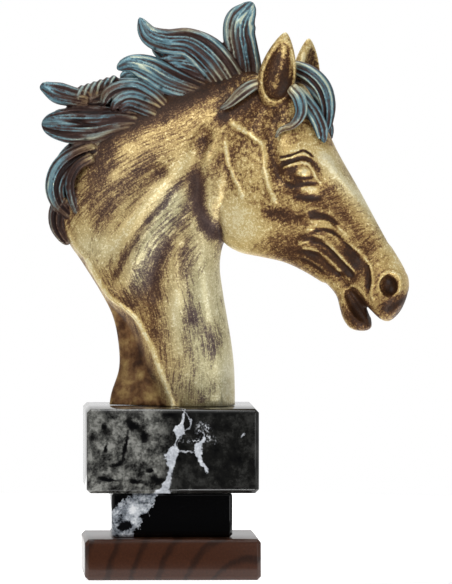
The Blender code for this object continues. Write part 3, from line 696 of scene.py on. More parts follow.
# %% Where the locks lie
# Locks of the mane: points (x, z, half width) from root to tip, strands, thickness, y at root and tip
LOCKS = {
    "crown_tuft": ([
        (247, 92, 14), (246, 70, 16.5), (242, 50, 17), (239, 34, 17), (241, 21, 16.5), (248, 10, 10),
        (253, 2, 4),
    ], 5, 0.55, -4, -2),
    "high_lock": ([
        (236, 92, 17), (222, 72, 20), (206, 55, 20), (188, 44, 16), (167, 42, 13), (149, 35, 10),
        (139, 17, 4),
    ], 5, 0.55, -10, -6),
    "middle_lock": ([
        (212, 93, 8), (190, 88, 12), (168, 80, 15), (148, 69, 14), (131, 64, 9), (116, 69, 4),
    ], 5, 0.6, -14, -10),
    "curl_outer": ([
        (166, 106, 5), (152, 94, 6), (136, 86, 6), (120, 87, 6), (108, 94, 6), (103, 105, 4),
    ], 2, 0.9, -17, -14),
    "curl_middle": ([
        (162, 108, 4), (146, 100, 5), (130, 96, 5), (118, 101, 5), (112, 111, 3),
    ], 2, 0.9, -17, -17),
    "curl_inner": ([(158, 116, 4), (142, 109, 5), (129, 105, 5), (119, 110, 3)], 2, 0.9, -18, -17),
    "wind_tuft": ([(90, 100, 9), (74, 97, 10), (58, 93, 11), (45, 87, 6), (41, 84, 3)], 5, 0.6, -8, -4),
    "long_lock": ([
        (140, 122, 8), (116, 122, 12), (94, 126, 17), (73, 126, 18), (55, 125, 14), (41, 124, 6),
    ], 6, 0.6, -14, -8),
    "falling_lock": ([
        (98, 148, 9), (78, 155, 10), (62, 168, 11), (55, 186, 10), (58, 202, 8), (67, 213, 6), (76, 222, 2),
    ], 4, 0.7, -12, -10),
    "falling_strand": ([
        (94, 156, 5), (78, 166, 5), (70, 182, 5), (72, 200, 4), (78, 216, 2),
    ], 2, 0.9, -18, -16),
    "last_lock": ([(66, 196, 9), (58, 210, 9), (57, 224, 8), (62, 236, 6), (69, 245, 3)], 3, 0.8, -8, -7),
    "leaf_lock": ([
        (262, 82, 4), (250, 87, 6), (239, 95, 6), (229, 104, 4), (219, 110, 1.5),
    ], 2, 0.9, -32, -38),
    "forelock_crest": ([
        (284, 66, 6), (298, 69, 8), (312, 76, 9), (323, 88, 9), (328, 104, 8), (328, 120, 6), (326, 134, 3),
    ], 3, 0.9, -2, -6),
    "forelock_near": ([
        (296, 88, 5), (306, 100, 6), (316, 114, 6), (323, 130, 5), (324, 144, 2),
    ], 2, 0.9, -16, -20),
    "forelock_thin": ([(298, 98, 4), (307, 110, 4), (315, 124, 4), (320, 140, 2)], 1, 0.9, -21, -24),
    "temple_lock": ([
        (290, 86, 6), (299, 98, 7), (301, 113, 6), (293, 125, 4), (281, 130, 3), (275, 139, 1.5),
    ], 2, 0.7, -29, -36),
}

# %% The bed of hair
# The low mass of hair on the crest that the locks rise from
MANE_BED = {
    "crest_bed": ([
        (262, 84, 12), (236, 90, 15), (205, 96, 16), (175, 106, 16), (146, 116, 15), (116, 116, 14),
        (94, 114, 14), (76, 112, 9), (62, 112, 4),
    ], 9, 0.9, -3, -3),
    "upper_bed": ([
        (240, 84, 10), (214, 76, 14), (192, 68, 14), (172, 64, 11), (156, 66, 5),
    ], 5, 0.8, -6, -4),
    "middle_bed": ([
        (170, 104, 12), (148, 94, 13), (126, 90, 12), (106, 92, 11), (88, 98, 9), (74, 102, 4),
    ], 6, 0.8, -3, -3),
    "fall_bed": ([
        (112, 124, 10), (92, 140, 14), (76, 158, 14), (66, 178, 12), (62, 200, 9), (64, 220, 7),
        (70, 240, 4),
    ], 6, 0.9, -2, -2),
}

# %% The far locks
# The same on the side away from the viewer, plainer
FAR_LOCKS = {
    "far_high_lock": ([
        (228, 92, 16), (208, 74, 18), (188, 58, 15), (168, 53, 12), (152, 42, 6),
    ], 5, 0.5, 12, 12),
    "far_middle_lock": ([
        (196, 98, 12), (170, 90, 15), (148, 80, 13), (130, 76, 8), (120, 80, 4),
    ], 5, 0.55, 15, 12),
    "far_long_lock": ([
        (150, 118, 12), (120, 116, 15), (92, 120, 15), (68, 119, 12), (52, 114, 5),
    ], 5, 0.55, 14, 10),
    "far_low_lock": ([
        (112, 142, 12), (86, 148, 13), (68, 162, 12), (60, 182, 10), (64, 202, 6), (72, 216, 3),
    ], 4, 0.6, 14, 10),
    "far_last_lock": ([(72, 192, 9), (64, 210, 9), (63, 226, 7), (70, 240, 3)], 3, 0.8, 10, 8),
    "far_forelock": ([
        (292, 84, 6), (306, 94, 8), (320, 110, 7), (329, 128, 5), (330, 142, 2),
    ], 3, 0.8, 14, 20),
    "far_temple_lock": ([
        (288, 84, 6), (300, 96, 7), (306, 112, 6), (302, 128, 4), (296, 140, 2),
    ], 2, 0.7, 27, 34),
}
print(len(LOCKS), "near locks,", len(MANE_BED), "beds,", len(FAR_LOCKS), "far locks")

# %% The twist
# Short strands that cross the crest behind the wind tuft like the turns of a rope
TWIST_FROM = (78, 101)
TWIST_TO = (110, 91)
TWIST_TURNS = 6
TWIST_RISE = (6, -15)
TWIST_BOW = (0.4, 0.6)
TWIST_HALF_WIDTHS = (3.5, 4.2, 3)
# Strands, thickness, y at root and tip
TWIST_SHAPE = (1, 1.7, -6, -4)


def twist_strands():
    strands = []
    root, bow, tip = TWIST_HALF_WIDTHS
    for turn in range(TWIST_TURNS):
        share = turn / (TWIST_TURNS - 1)
        x = TWIST_FROM[0] + (TWIST_TO[0] - TWIST_FROM[0]) * share
        z = TWIST_FROM[1] + (TWIST_TO[1] - TWIST_FROM[1]) * share
        middle = (x + TWIST_RISE[0] * TWIST_BOW[0], z + TWIST_RISE[1] * TWIST_BOW[1], bow)
        strands.append([(x, z, root), middle, (x + TWIST_RISE[0], z + TWIST_RISE[1], tip)])
    return [lock_of_hair(strand, *TWIST_SHAPE, around=32) for strand in strands]


def hair_pieces():
    locks = [*MANE_BED.values(), *LOCKS.values(), *FAR_LOCKS.values()]
    return [lock_of_hair(*lock) for lock in locks] + twist_strands()

# %% [markdown]
# The casting itself: body, strokes, hair, and one last working together. The grain is the size of the
# finest form that stays, a little over half a millimetre. Then the skin is thinned to a number of
# triangles that a file can carry.

# %% Work the casting
FINE_GRAIN = 1.15
BODY_EASING = 8
HAIR_EASING = 1
CASTING_TRIANGLES = 195000

grain = FINE_GRAIN
body = tooled(worked_together(body_pieces(), grain, BODY_EASING))
hair = joined(hair_pieces())
print("body", len(body.verts), "points, hair", len(hair.verts), "points")
lump = object_of("lump", worked_together([body, hair], grain, HAIR_EASING))
triangles = sum(len(face.vertices) - 2 for face in lump.data.polygons)
thinned = lump.modifiers.new("thinned", "DECIMATE")
thinned.ratio = min(1, CASTING_TRIANGLES / triangles)
casting = shape_of(lump)
print("casting", len(casting.verts), "points, from", triangles, "triangles")

# %% [markdown]
# Before the paint, the painter looks at the form: which points belong to hair, how high each rib
# stands, where the form swells and where it sinks. A point is hair when it is nearer to the skin of
# the locks than to the skin of the body.

# %% Look at the form
HAIR_SOFTNESS = 3
FINE_FORM = 4
BROAD_FORM = 60
STRONGEST_PERCENT = 95


def surface_of(skin):
    """A tree for finding the nearest face, with each face's corner numbers."""
    skin.verts.index_update()
    faces = [[vert.index for vert in face.verts] for face in skin.faces]
    return BVHTree.FromPolygons([vert.co for vert in skin.verts], faces), faces


def nearest(tree, faces, points):
    """For each point, how far the surface is and the corners of its nearest face."""
    gap = np.zeros(len(points))
    corners = []
    for number, point in enumerate(points):
        _, _, index, gap[number] = tree.find_nearest(Vector(point))
        corners.append(faces[index])
    return gap, corners


def shared_marks(points, skin, corners):
    """The marks of each point's nearest face, blended from its corners by nearness."""
    places = coordinates(skin)
    layers = [skin.verts.layers.float[name] for name in MARKS]
    kept = np.array([[vert[layer] for layer in layers] for vert in skin.verts])
    blended = np.zeros((len(points), len(MARKS)))
    for number, (point, corner) in enumerate(zip(points, corners)):
        near = 1 / (np.linalg.norm(places[corner] - point, axis=1) + WELD) ** 2
        blended[number] = near @ kept[corner] / near.sum()
    return dict(zip(MARKS, blended.T))


def smoothed(values, edges, times):
    """Values at the points, averaged with their neighbours the given number of times."""
    first, second = edges.T
    size = len(values)
    count = np.bincount(first, minlength=size) + np.bincount(second, minlength=size)
    for _ in range(times):
        total = np.zeros_like(values)
        for column in range(values.shape[1]):
            total[:, column] = np.bincount(first, values[second, column], size)
            total[:, column] += np.bincount(second, values[first, column], size)
        values = total / count[:, None]
    return values


def swelling(co, normals, edges, times):
    """How far each point stands out of its surroundings, about 1 on the strongest forms."""
    out = ((co - smoothed(co, edges, times)) * normals).sum(axis=1)
    return out / np.percentile(np.abs(out), STRONGEST_PERCENT)

# %% Measure the form
casting.verts.index_update()
casting.normal_update()
co = coordinates(casting)
normals = np.array([vert.normal for vert in casting.verts])
edges = np.array([[vert.index for vert in edge.verts] for edge in casting.edges])
hair_gap, hair_corners = nearest(*surface_of(hair), co)
body_gap, _ = nearest(*surface_of(body), co)
marks = shared_marks(co, hair, hair_corners)
mane = smoothstep(0.5 + (body_gap - hair_gap) / HAIR_SOFTNESS)
fine_swell = swelling(co, normals, edges, FINE_FORM)
broad_swell = swelling(co, normals, edges, BROAD_FORM)
print("hair share", round(float(mane.mean()), 2))

# %% [markdown]
# Long brush strokes follow the neck from the poll down to the shoulder. So each point of the neck gets
# a place along and across it: along grows from the poll to the foot, across from the crest to the throat.
# Between the poll and the shoulder the strokes slant across the neck, as the long muscle there does.

# %% Places along the neck
FLOW_STEPS = 160
NECK_WIDTH = 150
NECK_REACH = 0.7
OUTSIDE_COST = 200
BAND_SLANT = 0.65
BAND_FROM = 100
BAND_TO = 250


def neck_flow(place):
    """How far along and across the neck each place lies, in squares of the drawing."""
    rows = [(*front, *back) for front, back, *_ in straightened(NECK)]
    track = flowing(rows, FLOW_STEPS // len(rows))[::-1]
    front, back = track[:, 0:2], track[:, 2:4]
    way = front - back
    out = place[:, None, :] - back[None, :, :]
    side = (way[None, :, 0] * out[:, :, 1] - way[None, :, 1] * out[:, :, 0]) / np.linalg.norm(way, axis=1)
    across = (out * way).sum(axis=2) / (way**2).sum(axis=1)
    outside = np.clip(np.abs(across - 0.5) - NECK_REACH, 0, None)
    off = np.abs(side) + OUTSIDE_COST * outside
    best = off.argmin(axis=1)
    middle = (front + back) / 2
    far = np.concatenate([[0], np.cumsum(np.linalg.norm(np.diff(middle, axis=0), axis=1))])
    number = np.arange(len(place))
    along = far[best] - side[number, best]
    slant = BAND_SLANT * np.clip(along - BAND_FROM, 0, BAND_TO - BAND_FROM)
    return along, across[number, best] * NECK_WIDTH + slant


place = co[:, [0, 2]]
flow_along, flow_across = neck_flow(place)
print("neck", round(float(flow_along.max())), "squares long")

# %% [markdown]
# Antique gold is three coats. First everything is painted dark purple-brown. Then a nearly dry brush
# of gold drags over it and stays on what stands out. Last, cream is rubbed on the brightest places; the
# cream there is also a painted sheen, where the gold catches the light.
# The numbers here say how much gold each place gets: above zero for more, below zero for less. Most are
# where the painter's brush went and where it left places dark. Some are painted light and shade:
# painted highlights on the forehead, the eyeball, the upper lid, the cheek rim and the ridge of the nose,
# and painted shade behind the cheek, along the edge of the nose and under the chin.

# %% Where the gold went, with painted highlights and shade: broad areas
# Patches: middle x and z, half length, half width, tilt in degrees, how much more or less
GOLD_PATCHES = {
    "forehead": (318, 152, 18, 10, 50, 0.18),
    # Painted highlight: cream on the forehead, where the light falls brightest
    "forehead_highlight": (323, 160, 11, 5, 50, 0.45),
    "nose_bridge": (350, 197, 46, 6, 55, 0.08),
    "nose_end": (393, 262, 16, 9, 55, 0.25),
    "jowl": (237, 215, 26, 17, 45, 0.42),
    "jaw_corner": (258, 236, 26, 8, 12, 0.12),
    "cheek_plate": (246, 170, 18, 34, 0, 0.06),
    "under_eye": (311, 190, 8, 4.5, 0, 0.36),
    "brow": (300, 152, 16, 5, 10, 0.16),
    "temple": (268, 122, 22, 16, 40, -0.07),
    "behind_ear": (240, 102, 24, 13, -20, -0.55),
    "eye_socket": (284, 168, 7, 7, 0, -0.50),
    # Painted highlight: the glint on the front of the eyeball
    "eyeball": (305.5, 171.5, 3.5, 4, 0, 0.25),
    "eye_back": (294, 171, 5, 4, 0, -0.35),
    "eye_front": (317, 168, 5, 3, 60, -0.35),
    "under_pad": (307, 197, 11, 3.5, 15, -0.40),
    "below_eye": (292, 188, 12, 5, 15, -0.30),
    "ear_fold": (224, 117, 8, 5, 10, -0.70),
    "cheek_front": (283, 215, 16, 8, 15, -0.36),
    "muzzle_side": (321, 207, 34, 10, 52, -0.16),
    "mouth_side": (352, 264, 20, 9, 55, -0.25),
    "fold_dark_1": (325, 218, 13, 3, 20, -0.35),
    "fold_dark_2": (326, 231, 12, 2.5, 10, -0.30),
    "fold_dark_3": (312, 240.5, 11, 2.5, 5, -0.35),
    "fold_dark_4": (352, 261, 10, 4, 55, -0.45),
    "fold_dark_5": (346, 275, 9, 3.5, 20, -0.40),
    "fold_dark_6": (365, 276, 13, 3.2, 85, -0.45),
    "jaw_side": (292, 252, 34, 13, 22, -0.36),
    "upper_lip": (387, 307, 15, 9, -45, -0.66),
    # Painted shade under the chin, on the underside of the jaw
    "shade_under_chin": (353, 320, 16, 11, 45, -0.72),
    "near_ear_inside": (281, 80, 24, 8, 82, -0.42),
    "near_ear_hollow": (286, 88, 12, 5, 100, -0.40),
    "mouth_inside": (358, 308, 18, 7, 57, -1.0),
    "nostril_inside": (387, 286, 6, 8, 10, -0.9),
    "under_mane_back": (92, 128, 50, 12, -8, -0.65),
    "under_mane_top": (192, 95, 66, 11, -20, -0.66),
    "mane_root_low": (100, 170, 12, 40, 20, -0.35),
    "throat": (208, 284, 14, 46, 0, 0.20),
    "chest": (224, 380, 10, 60, 0, 0.25),
    "low_neck": (190, 372, 26, 26, 0, 0.02),
    "hatch_1": (205, 328, 18, 9, 30, -0.42),
    "hatch_2": (212, 352, 9, 15, 0, -0.42),
    "hatch_3": (186, 338, 12, 10, 20, -0.22),
    "hatch_4": (202, 398, 14, 5, -8, -0.24),
    "hatch_6": (132, 300, 12, 16, 40, -0.20),
    "shoulder_edge": (88, 244, 18, 16, 0, 0.28),
}

# %% Where the gold went, with painted highlights and shade: long strokes
# Strokes: half width, how much more or less, and the line
GOLD_STROKES = {
    "golden_band": (7, 0.30, [(200, 150), (165, 185), (131, 221), (110, 250), (93, 269)]),
    "purple_band": (8, -0.32, [(160, 152), (134, 178), (108, 208), (95, 240), (93, 262)]),
    "crest_gold": (9, -0.05, [(200, 112), (165, 134), (130, 162), (104, 196), (88, 225)]),
    "brown_beside": (3.5, -0.28, [(184, 178), (158, 212), (132, 246), (112, 282)]),
    "pale_band": (9, -0.12, [(188, 180), (170, 214), (152, 246), (138, 296)]),
    # Painted shade in the valley behind the cheek
    "shade_behind_cheek": (8, -0.60, [(193, 166), (196, 186), (199, 206), (206, 226), (217, 242)]),
    "fold_rim": (1.0, 0.55, [(208, 121), (216, 113), (224, 110), (230, 113), (232, 121)]),
    "brown_band": (9, -0.22, [(176, 242), (160, 268), (154, 300), (158, 345)]),
    "lower_gold": (6, 0.30, [(180, 286), (176, 320), (180, 360)]),
    # Gold on the rim of the cheek, with a painted highlight along it
    "cheek_rim_gold_and_highlight": (2.0, 0.22, [(228, 121), (245, 131), (263, 144), (267, 168), (275, 196), (281, 206)]),
    "cheek_vein": (1.6, 0.28, [(227, 140), (228, 157), (232, 171), (239, 185), (245, 200)]),
    "cut_rim": (3, 0.50, CUT_RIM[3:]),
    "ear_streak_1": (2.4, 0.50, [(284, 46), (281, 60), (276, 76), (272, 92)]),
    "ear_streak_2": (1.8, 0.42, [(290, 52), (289, 66), (286, 80)]),
    # Painted highlight along the upper lid
    "lid_highlight": (1.0, 0.30, [
        (284, 168), (288, 166.8), (294, 164.4), (300.4, 163.2), (306.3, 163.5), (311, 166.8), (314, 173),
        (316.5, 179),
    ]),
    "lid_shadow": (2.0, -0.75, [
        (283, 163.5), (291, 161), (299, 158.8), (306, 158.5), (312, 161.5), (315, 167),
    ]),
    "under_eyeball": (1.3, -0.60, [(290, 177), (297, 178), (306, 178.3), (313, 178)]),
    "low_lid_shadow": (2.2, -0.45, [(293, 182), (303, 183), (313, 183)]),
    "brow_light": (1.0, 0.35, [(281, 160), (291, 158), (298.6, 154.8), (305, 154), (311, 157.5)]),
    "brow_shadow": (1.0, -0.80, [
        (281, 157.5), (289, 156), (295, 154), (300, 151.6), (304.5, 150.8), (312, 157),
    ]),
    "brow_top": (1.3, 0.25, [(295, 151), (303.3, 148.6), (310, 151.5)]),
    # Painted highlight along the ridge of the nose
    "nose_highlight": (2.5, 0.30, [(322, 161), (338, 180), (353, 198), (367, 216), (379, 234), (392, 254)]),
    # Painted shade along the edge of the nose, where it turns away from the light
    "nose_edge_shade": (3, -0.55, [(336, 158), (347, 180), (363, 207), (381, 236), (397, 262)]),
    "fold_fill_1": (3.0, -0.45, [(308, 212), (321, 216), (335, 220.5)]),
    "fold_fill_2": (3.0, -0.40, [(298, 240), (309, 237.5), (322, 243)]),
    "fold_fill_3": (3.6, -0.50, [(313, 248), (327, 256), (339, 268), (352, 276)]),
    "fold_fill_4": (2.8, -0.45, [(294, 251), (306, 255), (321, 267), (334, 276)]),
    "fold_fill_5": (4.5, -0.40, [(339, 248), (349, 256), (358, 267)]),
    "fold_light_1": (1.0, 0.45, [(310, 222.6), (321, 221.4), (333, 224), (340, 231), (349, 239)]),
    "fold_light_2": (1.0, 0.40, [(306, 230), (318, 230), (330, 235), (344, 243), (358, 253)]),
    "fold_light_3": (1.0, 0.45, [(296, 245), (312, 241), (324, 244), (333, 251), (343, 262), (353, 273)]),
    "fold_light_4": (1.0, 0.40, [(300, 248.5), (313, 250), (325, 258), (339, 272)]),
    "jaw_line": (4, 0.05, [(222, 242), (245, 253), (275, 262), (305, 274), (330, 286)]),
}

print(len(GOLD_PATCHES), "patches and", len(GOLD_STROKES), "strokes of gold")

# %% [markdown]
# Blue was brushed over the dark hair in the same way, with more of it on the tufts than in the hollows
# between them. The roots and the lowest locks stayed brown and gold. Here the patches are enough.

# %% Where the blue went on the mane
BLUE_PATCHES = {
    "tuft": (243, 24, 22, 12, 80, 0.17),
    "tuft_root": (236, 72, 24, 12, 80, -0.14),
    "high_lock": (176, 44, 30, 12, 15, -0.05),
    "high_tip": (143, 26, 12, 8, 60, 0.14),
    "high_back": (176, 30, 20, 5, 5, -0.25),
    "between_locks": (182, 72, 30, 9, 22, -0.20),
    "middle_lock": (150, 68, 22, 11, 25, 0.18),
    "middle_root": (200, 88, 18, 8, 10, -0.30),
    "curls": (128, 96, 22, 10, -10, 0.07),
    "curl_root": (160, 108, 22, 10, 10, -0.25),
    "wind_tuft": (56, 90, 18, 10, 10, -0.15),
    "dark_crest": (92, 110, 34, 7, 0, -0.45),
    "dark_twist": (94, 92, 22, 9, -20, -0.26),
    "long_lock_end": (56, 128, 22, 10, 0, -0.13),
    "long_lock_root": (112, 130, 24, 12, -15, -0.26),
    "falling_inside": (76, 168, 14, 26, 0, -0.50),
    "last_lock": (60, 222, 10, 22, 0, -0.45),
    "leaf_lock": (236, 98, 34, 14, -40, -0.02),
    "forelock": (316, 86, 26, 20, 45, 0.27),
}

# %% Where the hair stayed brown and gold
BROWN_PATCHES = {
    "leaf_lock": (236, 98, 34, 14, -40, 0.6),
    "temple_tail": (287, 130, 16, 8, -30, 0.9),
    "twist": (94, 96, 26, 11, -15, 0.7),
    "last_lock": (62, 226, 18, 22, 0, 0.9),
    "falling_inside": (84, 164, 16, 26, 0, 0.7),
    "high_back": (178, 29, 26, 4, 5, 0.8),
    "high_root": (214, 72, 20, 10, -50, 0.35),
    "middle_root": (204, 91, 26, 8, 5, 0.9),
    "curl_root": (164, 110, 22, 9, 10, 0.6),
    "long_root": (118, 134, 26, 9, -12, 0.8),
    "tuft_side": (226, 40, 26, 6, 85, 0.5),
}

print(len(BLUE_PATCHES), "patches of blue and", len(BROWN_PATCHES), "of brown")

# %% [markdown]
# On the throat, the chest and the ridge of the nose the paint is cooler and paler, nearly ivory. The
# mane has a few pinholes, where air lay against the mould. They are not cut into the form: each is a
# near-black dot, the painted shade inside a hole.

# %% Where the paint is cooler and paler: broad areas and long strokes
PALE_PATCHES = {
    "throat": (205, 300, 26, 90, 0, 1.0),
    "chest": (215, 380, 22, 60, 0, 0.8),
    "shoulder_edge": (95, 250, 26, 18, 0, 0.5),
    "low_neck": (180, 390, 20, 20, 0, 0.4),
    "middle_neck": (140, 200, 70, 60, 0, 0.3),
    "windpipe": (178, 320, 18, 50, 0, 0.4),
}
PALE_STROKES = {
    "neck_band": (13, 0.9, [(184, 184), (168, 216), (148, 252), (134, 300)]),
    "nose": (8, 0.6, [(318, 150), (338, 180), (353, 198), (367, 216), (379, 234), (392, 254)]),
}

# Small holes where air bubbles lay against the mould, not cut but painted as near-black dots of shade
BUBBLES = [
    (138, 106), (144, 99), (125, 85), (84, 140), (203, 78), (217, 83), (153, 49), (218, 111), (160, 88),
]
BUBBLE_REACH = 1.7
print(len(PALE_PATCHES), "pale patches and", len(BUBBLES), "pinholes")

# %% [markdown]
# The coats are laid as numbers on the points of the skin, which Blender calls attributes. The material
# reads them, adds the grain of the brush and turns them into colour.

# %% Lay the coats
GOLD_EVERYWHERE = 0.49
# Broad forms get more gold: partly the dry brush, partly a painted highlight on the tops of the forms
GOLD_AND_HIGHLIGHT_ON_BROAD_FORMS = 0.12
GOLD_ON_FINE_FORMS = 0.20
GOLD_ON_RIDGES = 0.07
GOLD_IN_GROOVES = -0.42
FINE_STROKE = 4
LEAST_GOLD = -0.15
MOST_GOLD = 0.92
# The strokes begin this far down the neck. The cheek, a patch as above, has dabs as the head has.
NECK_FROM = 20
NECK_FADE = 50
CHEEK = (250, 180, 46, 70, 0)


def patch_on(place, x, z, long, short, tilt):
    """How strongly a soft oval patch touches each place, its long way tilted down to the right."""
    away = place - side_place(x, z)
    turn = math.radians(tilt)
    along = away[:, 0] * math.cos(turn) - away[:, 1] * math.sin(turn)
    across = away[:, 0] * math.sin(turn) + away[:, 1] * math.cos(turn)
    return np.exp(-((along / long) ** 2) - (across / short) ** 2)


def painted(coat, patches, strokes):
    """A coat with soft patches and long strokes of the brush added to it."""
    for *oval, strength in patches.values():
        coat = coat + strength * patch_on(place, *oval)
    for half_width, strength, points in strokes.values():
        coat = coat + strength * stroke_on(place, half_width, points)
    return coat

# %% Put the coats on the points
nothing = np.zeros(len(co))
gold = GOLD_EVERYWHERE + GOLD_AND_HIGHLIGHT_ON_BROAD_FORMS * broad_swell + GOLD_ON_FINE_FORMS * fine_swell
gold = painted(gold, GOLD_PATCHES, GOLD_STROKES)
for half_width, height, points in STROKES.values():
    if half_width < FINE_STROKE:
        strength = GOLD_ON_RIDGES if height > 0 else GOLD_IN_GROOVES
        gold += strength * stroke_on(place, half_width, points)
COATS = {
    "gold": np.clip(gold, LEAST_GOLD, MOST_GOLD),
    "pale": np.clip(painted(nothing, PALE_PATCHES, PALE_STROKES), 0, 1),
    "hollow_back": behind_rim(place),
    "blue": painted(nothing, BLUE_PATCHES, {}),
    "brown": painted(nothing, BROWN_PATCHES, {}),
    "pinhole_shade": sum(patch_on(place, x, z, BUBBLE_REACH, BUBBLE_REACH, 0) for x, z in BUBBLES),
    "mane": mane,
    "rib": marks["rib"],
    "share": marks["share"],
    "swell": fine_swell,
    "on_neck": smoothstep((flow_along - NECK_FROM) / NECK_FADE) * (1 - patch_on(place, *CHEEK)),
    "flow_along": flow_along * SQUARE_MM,
    "flow_across": flow_across * SQUARE_MM,
    "flow_depth": co[:, 1] * SQUARE_MM,
    "hair_along": marks["along"] * SQUARE_MM,
    "hair_across": marks["across"] * SQUARE_MM,
    "hair_lock": marks["lock"],
}
layers = {name: casting.verts.layers.float.new(name) for name in COATS}
for name, values in COATS.items():
    layer = layers[name]
    for vert, value in zip(casting.verts, values):
        vert[layer] = value
print("coats", list(COATS))

# %% [markdown]
# The straight figure is now bent round to the viewer, cut level at the foot, scaled from squares to
# metres and set on the marble. It takes the place of the plain solid of the CAD model.

# %% Bend, cut and scale the casting
CUT_NEARNESS = 1e-5


def flat_foot(skin):
    """Cuts the figure level at its foot and closes the cut."""
    everything = [*skin.verts, *skin.edges, *skin.faces]
    cut = bmesh.ops.bisect_plane(
        skin, geom=everything, plane_co=(0, 0, 0), plane_no=(0, 0, -1), clear_outer=True, dist=CUT_NEARNESS
    )
    rim = [edge for edge in cut["geom_cut"] if isinstance(edge, bmesh.types.BMEdge)]
    bmesh.ops.contextual_create(skin, geom=rim)
    bmesh.ops.triangulate(skin, faces=skin.faces)


base_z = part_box("horse_head")[0][2]
lay(casting, turned(co))
flat_foot(casting)
bmesh.ops.scale(casting, vec=(SQUARE, SQUARE, SQUARE), verts=casting.verts)
bmesh.ops.translate(casting, vec=(FIGURE_OFFSET, 0, base_z), verts=casting.verts)
figure = object_of("cast_horse_head", casting)
figure.data.shade_smooth()
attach(figure, "root")
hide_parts("horse_head")
print("casting", len(figure.data.polygons), "triangles")

# %% [markdown]
# Materials are graphs of nodes. One small function turns the painter's hex colours into the linear
# values that a renderer works in, one adds a node with its settings and inputs, and one starts a
# material. Inputs go by name or by number. A Map Range takes its value as 0, the range that it comes
# from as 1 and 2, and the range that it goes to as 3 and 4. A Mix takes its share as 0, and then two
# numbers as 2 and 3 or two colours as 6 and 7.

# %% Colour and nodes
MIX_COLOURS = {"output": 2, "data_type": "RGBA"}
MIX_NUMBERS = {"output": 0, "data_type": "FLOAT"}


def linear(colour):
    """An sRGB hex colour such as "#c8a050" as linear red, green, blue and 1."""
    values = [int(colour[start : start + 2], 16) / 255 for start in (1, 3, 5)]
    return (*[v / 12.92 if v <= 0.04045 else ((v + 0.055) / 1.055) ** 2.4 for v in values], 1)


def add(tree, kind, inputs=None, output=0, stops=(), **settings):
    """Adds a node with its settings, links or sets its inputs by number or name, and gives back one
    output. The stops of a colour ramp are its places from 0 to 1, each with a hex colour."""
    node = tree.nodes.new("ShaderNode" + kind)
    for name, value in settings.items():
        setattr(node, name, value)
    for name, value in (inputs or {}).items():
        if isinstance(value, bpy.types.NodeSocket):
            tree.links.new(value, node.inputs[name])
        else:
            node.inputs[name].default_value = value
    for at, _ in stops[1:-1]:
        node.color_ramp.elements.new(at)
    for number, (at, colour) in enumerate(stops):
        node.color_ramp.elements[number].position = at
        node.color_ramp.elements[number].color = linear(colour)
    return node.outputs[output]


def new_material(name):
    """A material with its tree and its surface shader, which is already linked to the output."""
    made = bpy.data.materials.new(name)
    made.use_nodes = True
    return made, made.node_tree, made.node_tree.nodes["Principled BSDF"]

# %% [markdown]
# Grain and dirt are mixed as a painter mixes: so much of this and so much of that. A recipe names each
# part and its share, and one function adds the parts up. The parts are noise, whose cells have a real
# size in millimetres, and the coats that lie on the points.

# %% Grain and recipes
METRES_TO_MM = (1000, 1000, 1000)


def grain_at(tree, place, cell_mm, detail=3.0, roughness=0.6):
    """Noise about 0, whose cells are the given millimetres along each way of the place."""
    cells = {0: place, 1: [1 / size for size in cell_mm]}
    scaled = add(tree, "VectorMath", cells, operation="MULTIPLY")
    inputs = {"Vector": scaled, "Scale": 1.0, "Detail": detail, "Roughness": roughness}
    return add(tree, "Math", {0: add(tree, "TexNoise", inputs), 1: 0.5}, operation="SUBTRACT")


def recipe(tree, parts, shares, start=0.0):
    """The parts that the shares name, each times its share, all added to the start."""
    total = start
    for name, share in shares.items():
        total = add(tree, "Math", {0: parts[name], 1: share, 2: total}, operation="MULTIPLY_ADD")
    return total


def place_in_mm(tree):
    object_place = add(tree, "TexCoord", output="Object")
    return add(tree, "VectorMath", {0: object_place, 1: METRES_TO_MM}, operation="MULTIPLY")

# %% [markdown]
# The casting's finish is paint on polyester resin: satin, a little metallic where the gold lies.
# The grain of the brush comes from noise that is stretched along the neck, and along each lock of hair.

# %% The coats of the casting as colours
# Its top stops, towards cream, are partly the cream paint and partly a painted sheen where the gold catches
# the light
GOLD_COAT_AND_SHEEN = [
    (0.0, "#2a180c"), (0.18, "#462b16"), (0.38, "#745334"), (0.55, "#9a7d4e"), (0.72, "#bb9f66"),
    (0.88, "#d7be80"), (1.0, "#f0e3b6"),
]
PALE_COAT = [
    (0.0, "#38292a"), (0.18, "#574845"), (0.38, "#81745f"), (0.55, "#a89e79"), (0.72, "#c4bb93"),
    (0.88, "#d8d1ab"), (1.0, "#ebe6cb"),
]
# Its palest top stop is a painted highlight on the crests of the ribs
MANE_COAT_AND_CREST_HIGHLIGHT = [
    (0.0, "#1d1110"), (0.30, "#34211d"), (0.46, "#473633"), (0.60, "#4b5a61"), (0.74, "#5d7f8b"),
    (0.90, "#7fa0a8"), (1.0, "#bcc7b4"),
]
BROWN_HAIR_COAT = [
    (0.0, "#20130e"), (0.30, "#3c2820"), (0.52, "#6a543f"), (0.74, "#9c8a64"), (1.0, "#d6caa2"),
]
BUBBLE_SHADE = linear("#060504")
print("coats of", len(GOLD_COAT_AND_SHEEN), "golds and", len(MANE_COAT_AND_CREST_HIGHLIGHT), "blues")

# %% The grains of the casting
# Cell sizes along, across and into the surface
STREAK_MM = (15, 1.7, 6)
FINE_STREAK_MM = (5, 0.7, 3)
HAIR_STREAK_MM = (9, 0.7, 1)
STRAND_TONE_MM = (22, 2.4, 1)
# Even cells; the real specks are finer than a pixel, and are drawn as coarse as they need to show
SPECKLE_MM = (0.9,) * 3
MOTTLE_MM = (1.9,) * 3
BLOTCH_MM = (7,) * 3


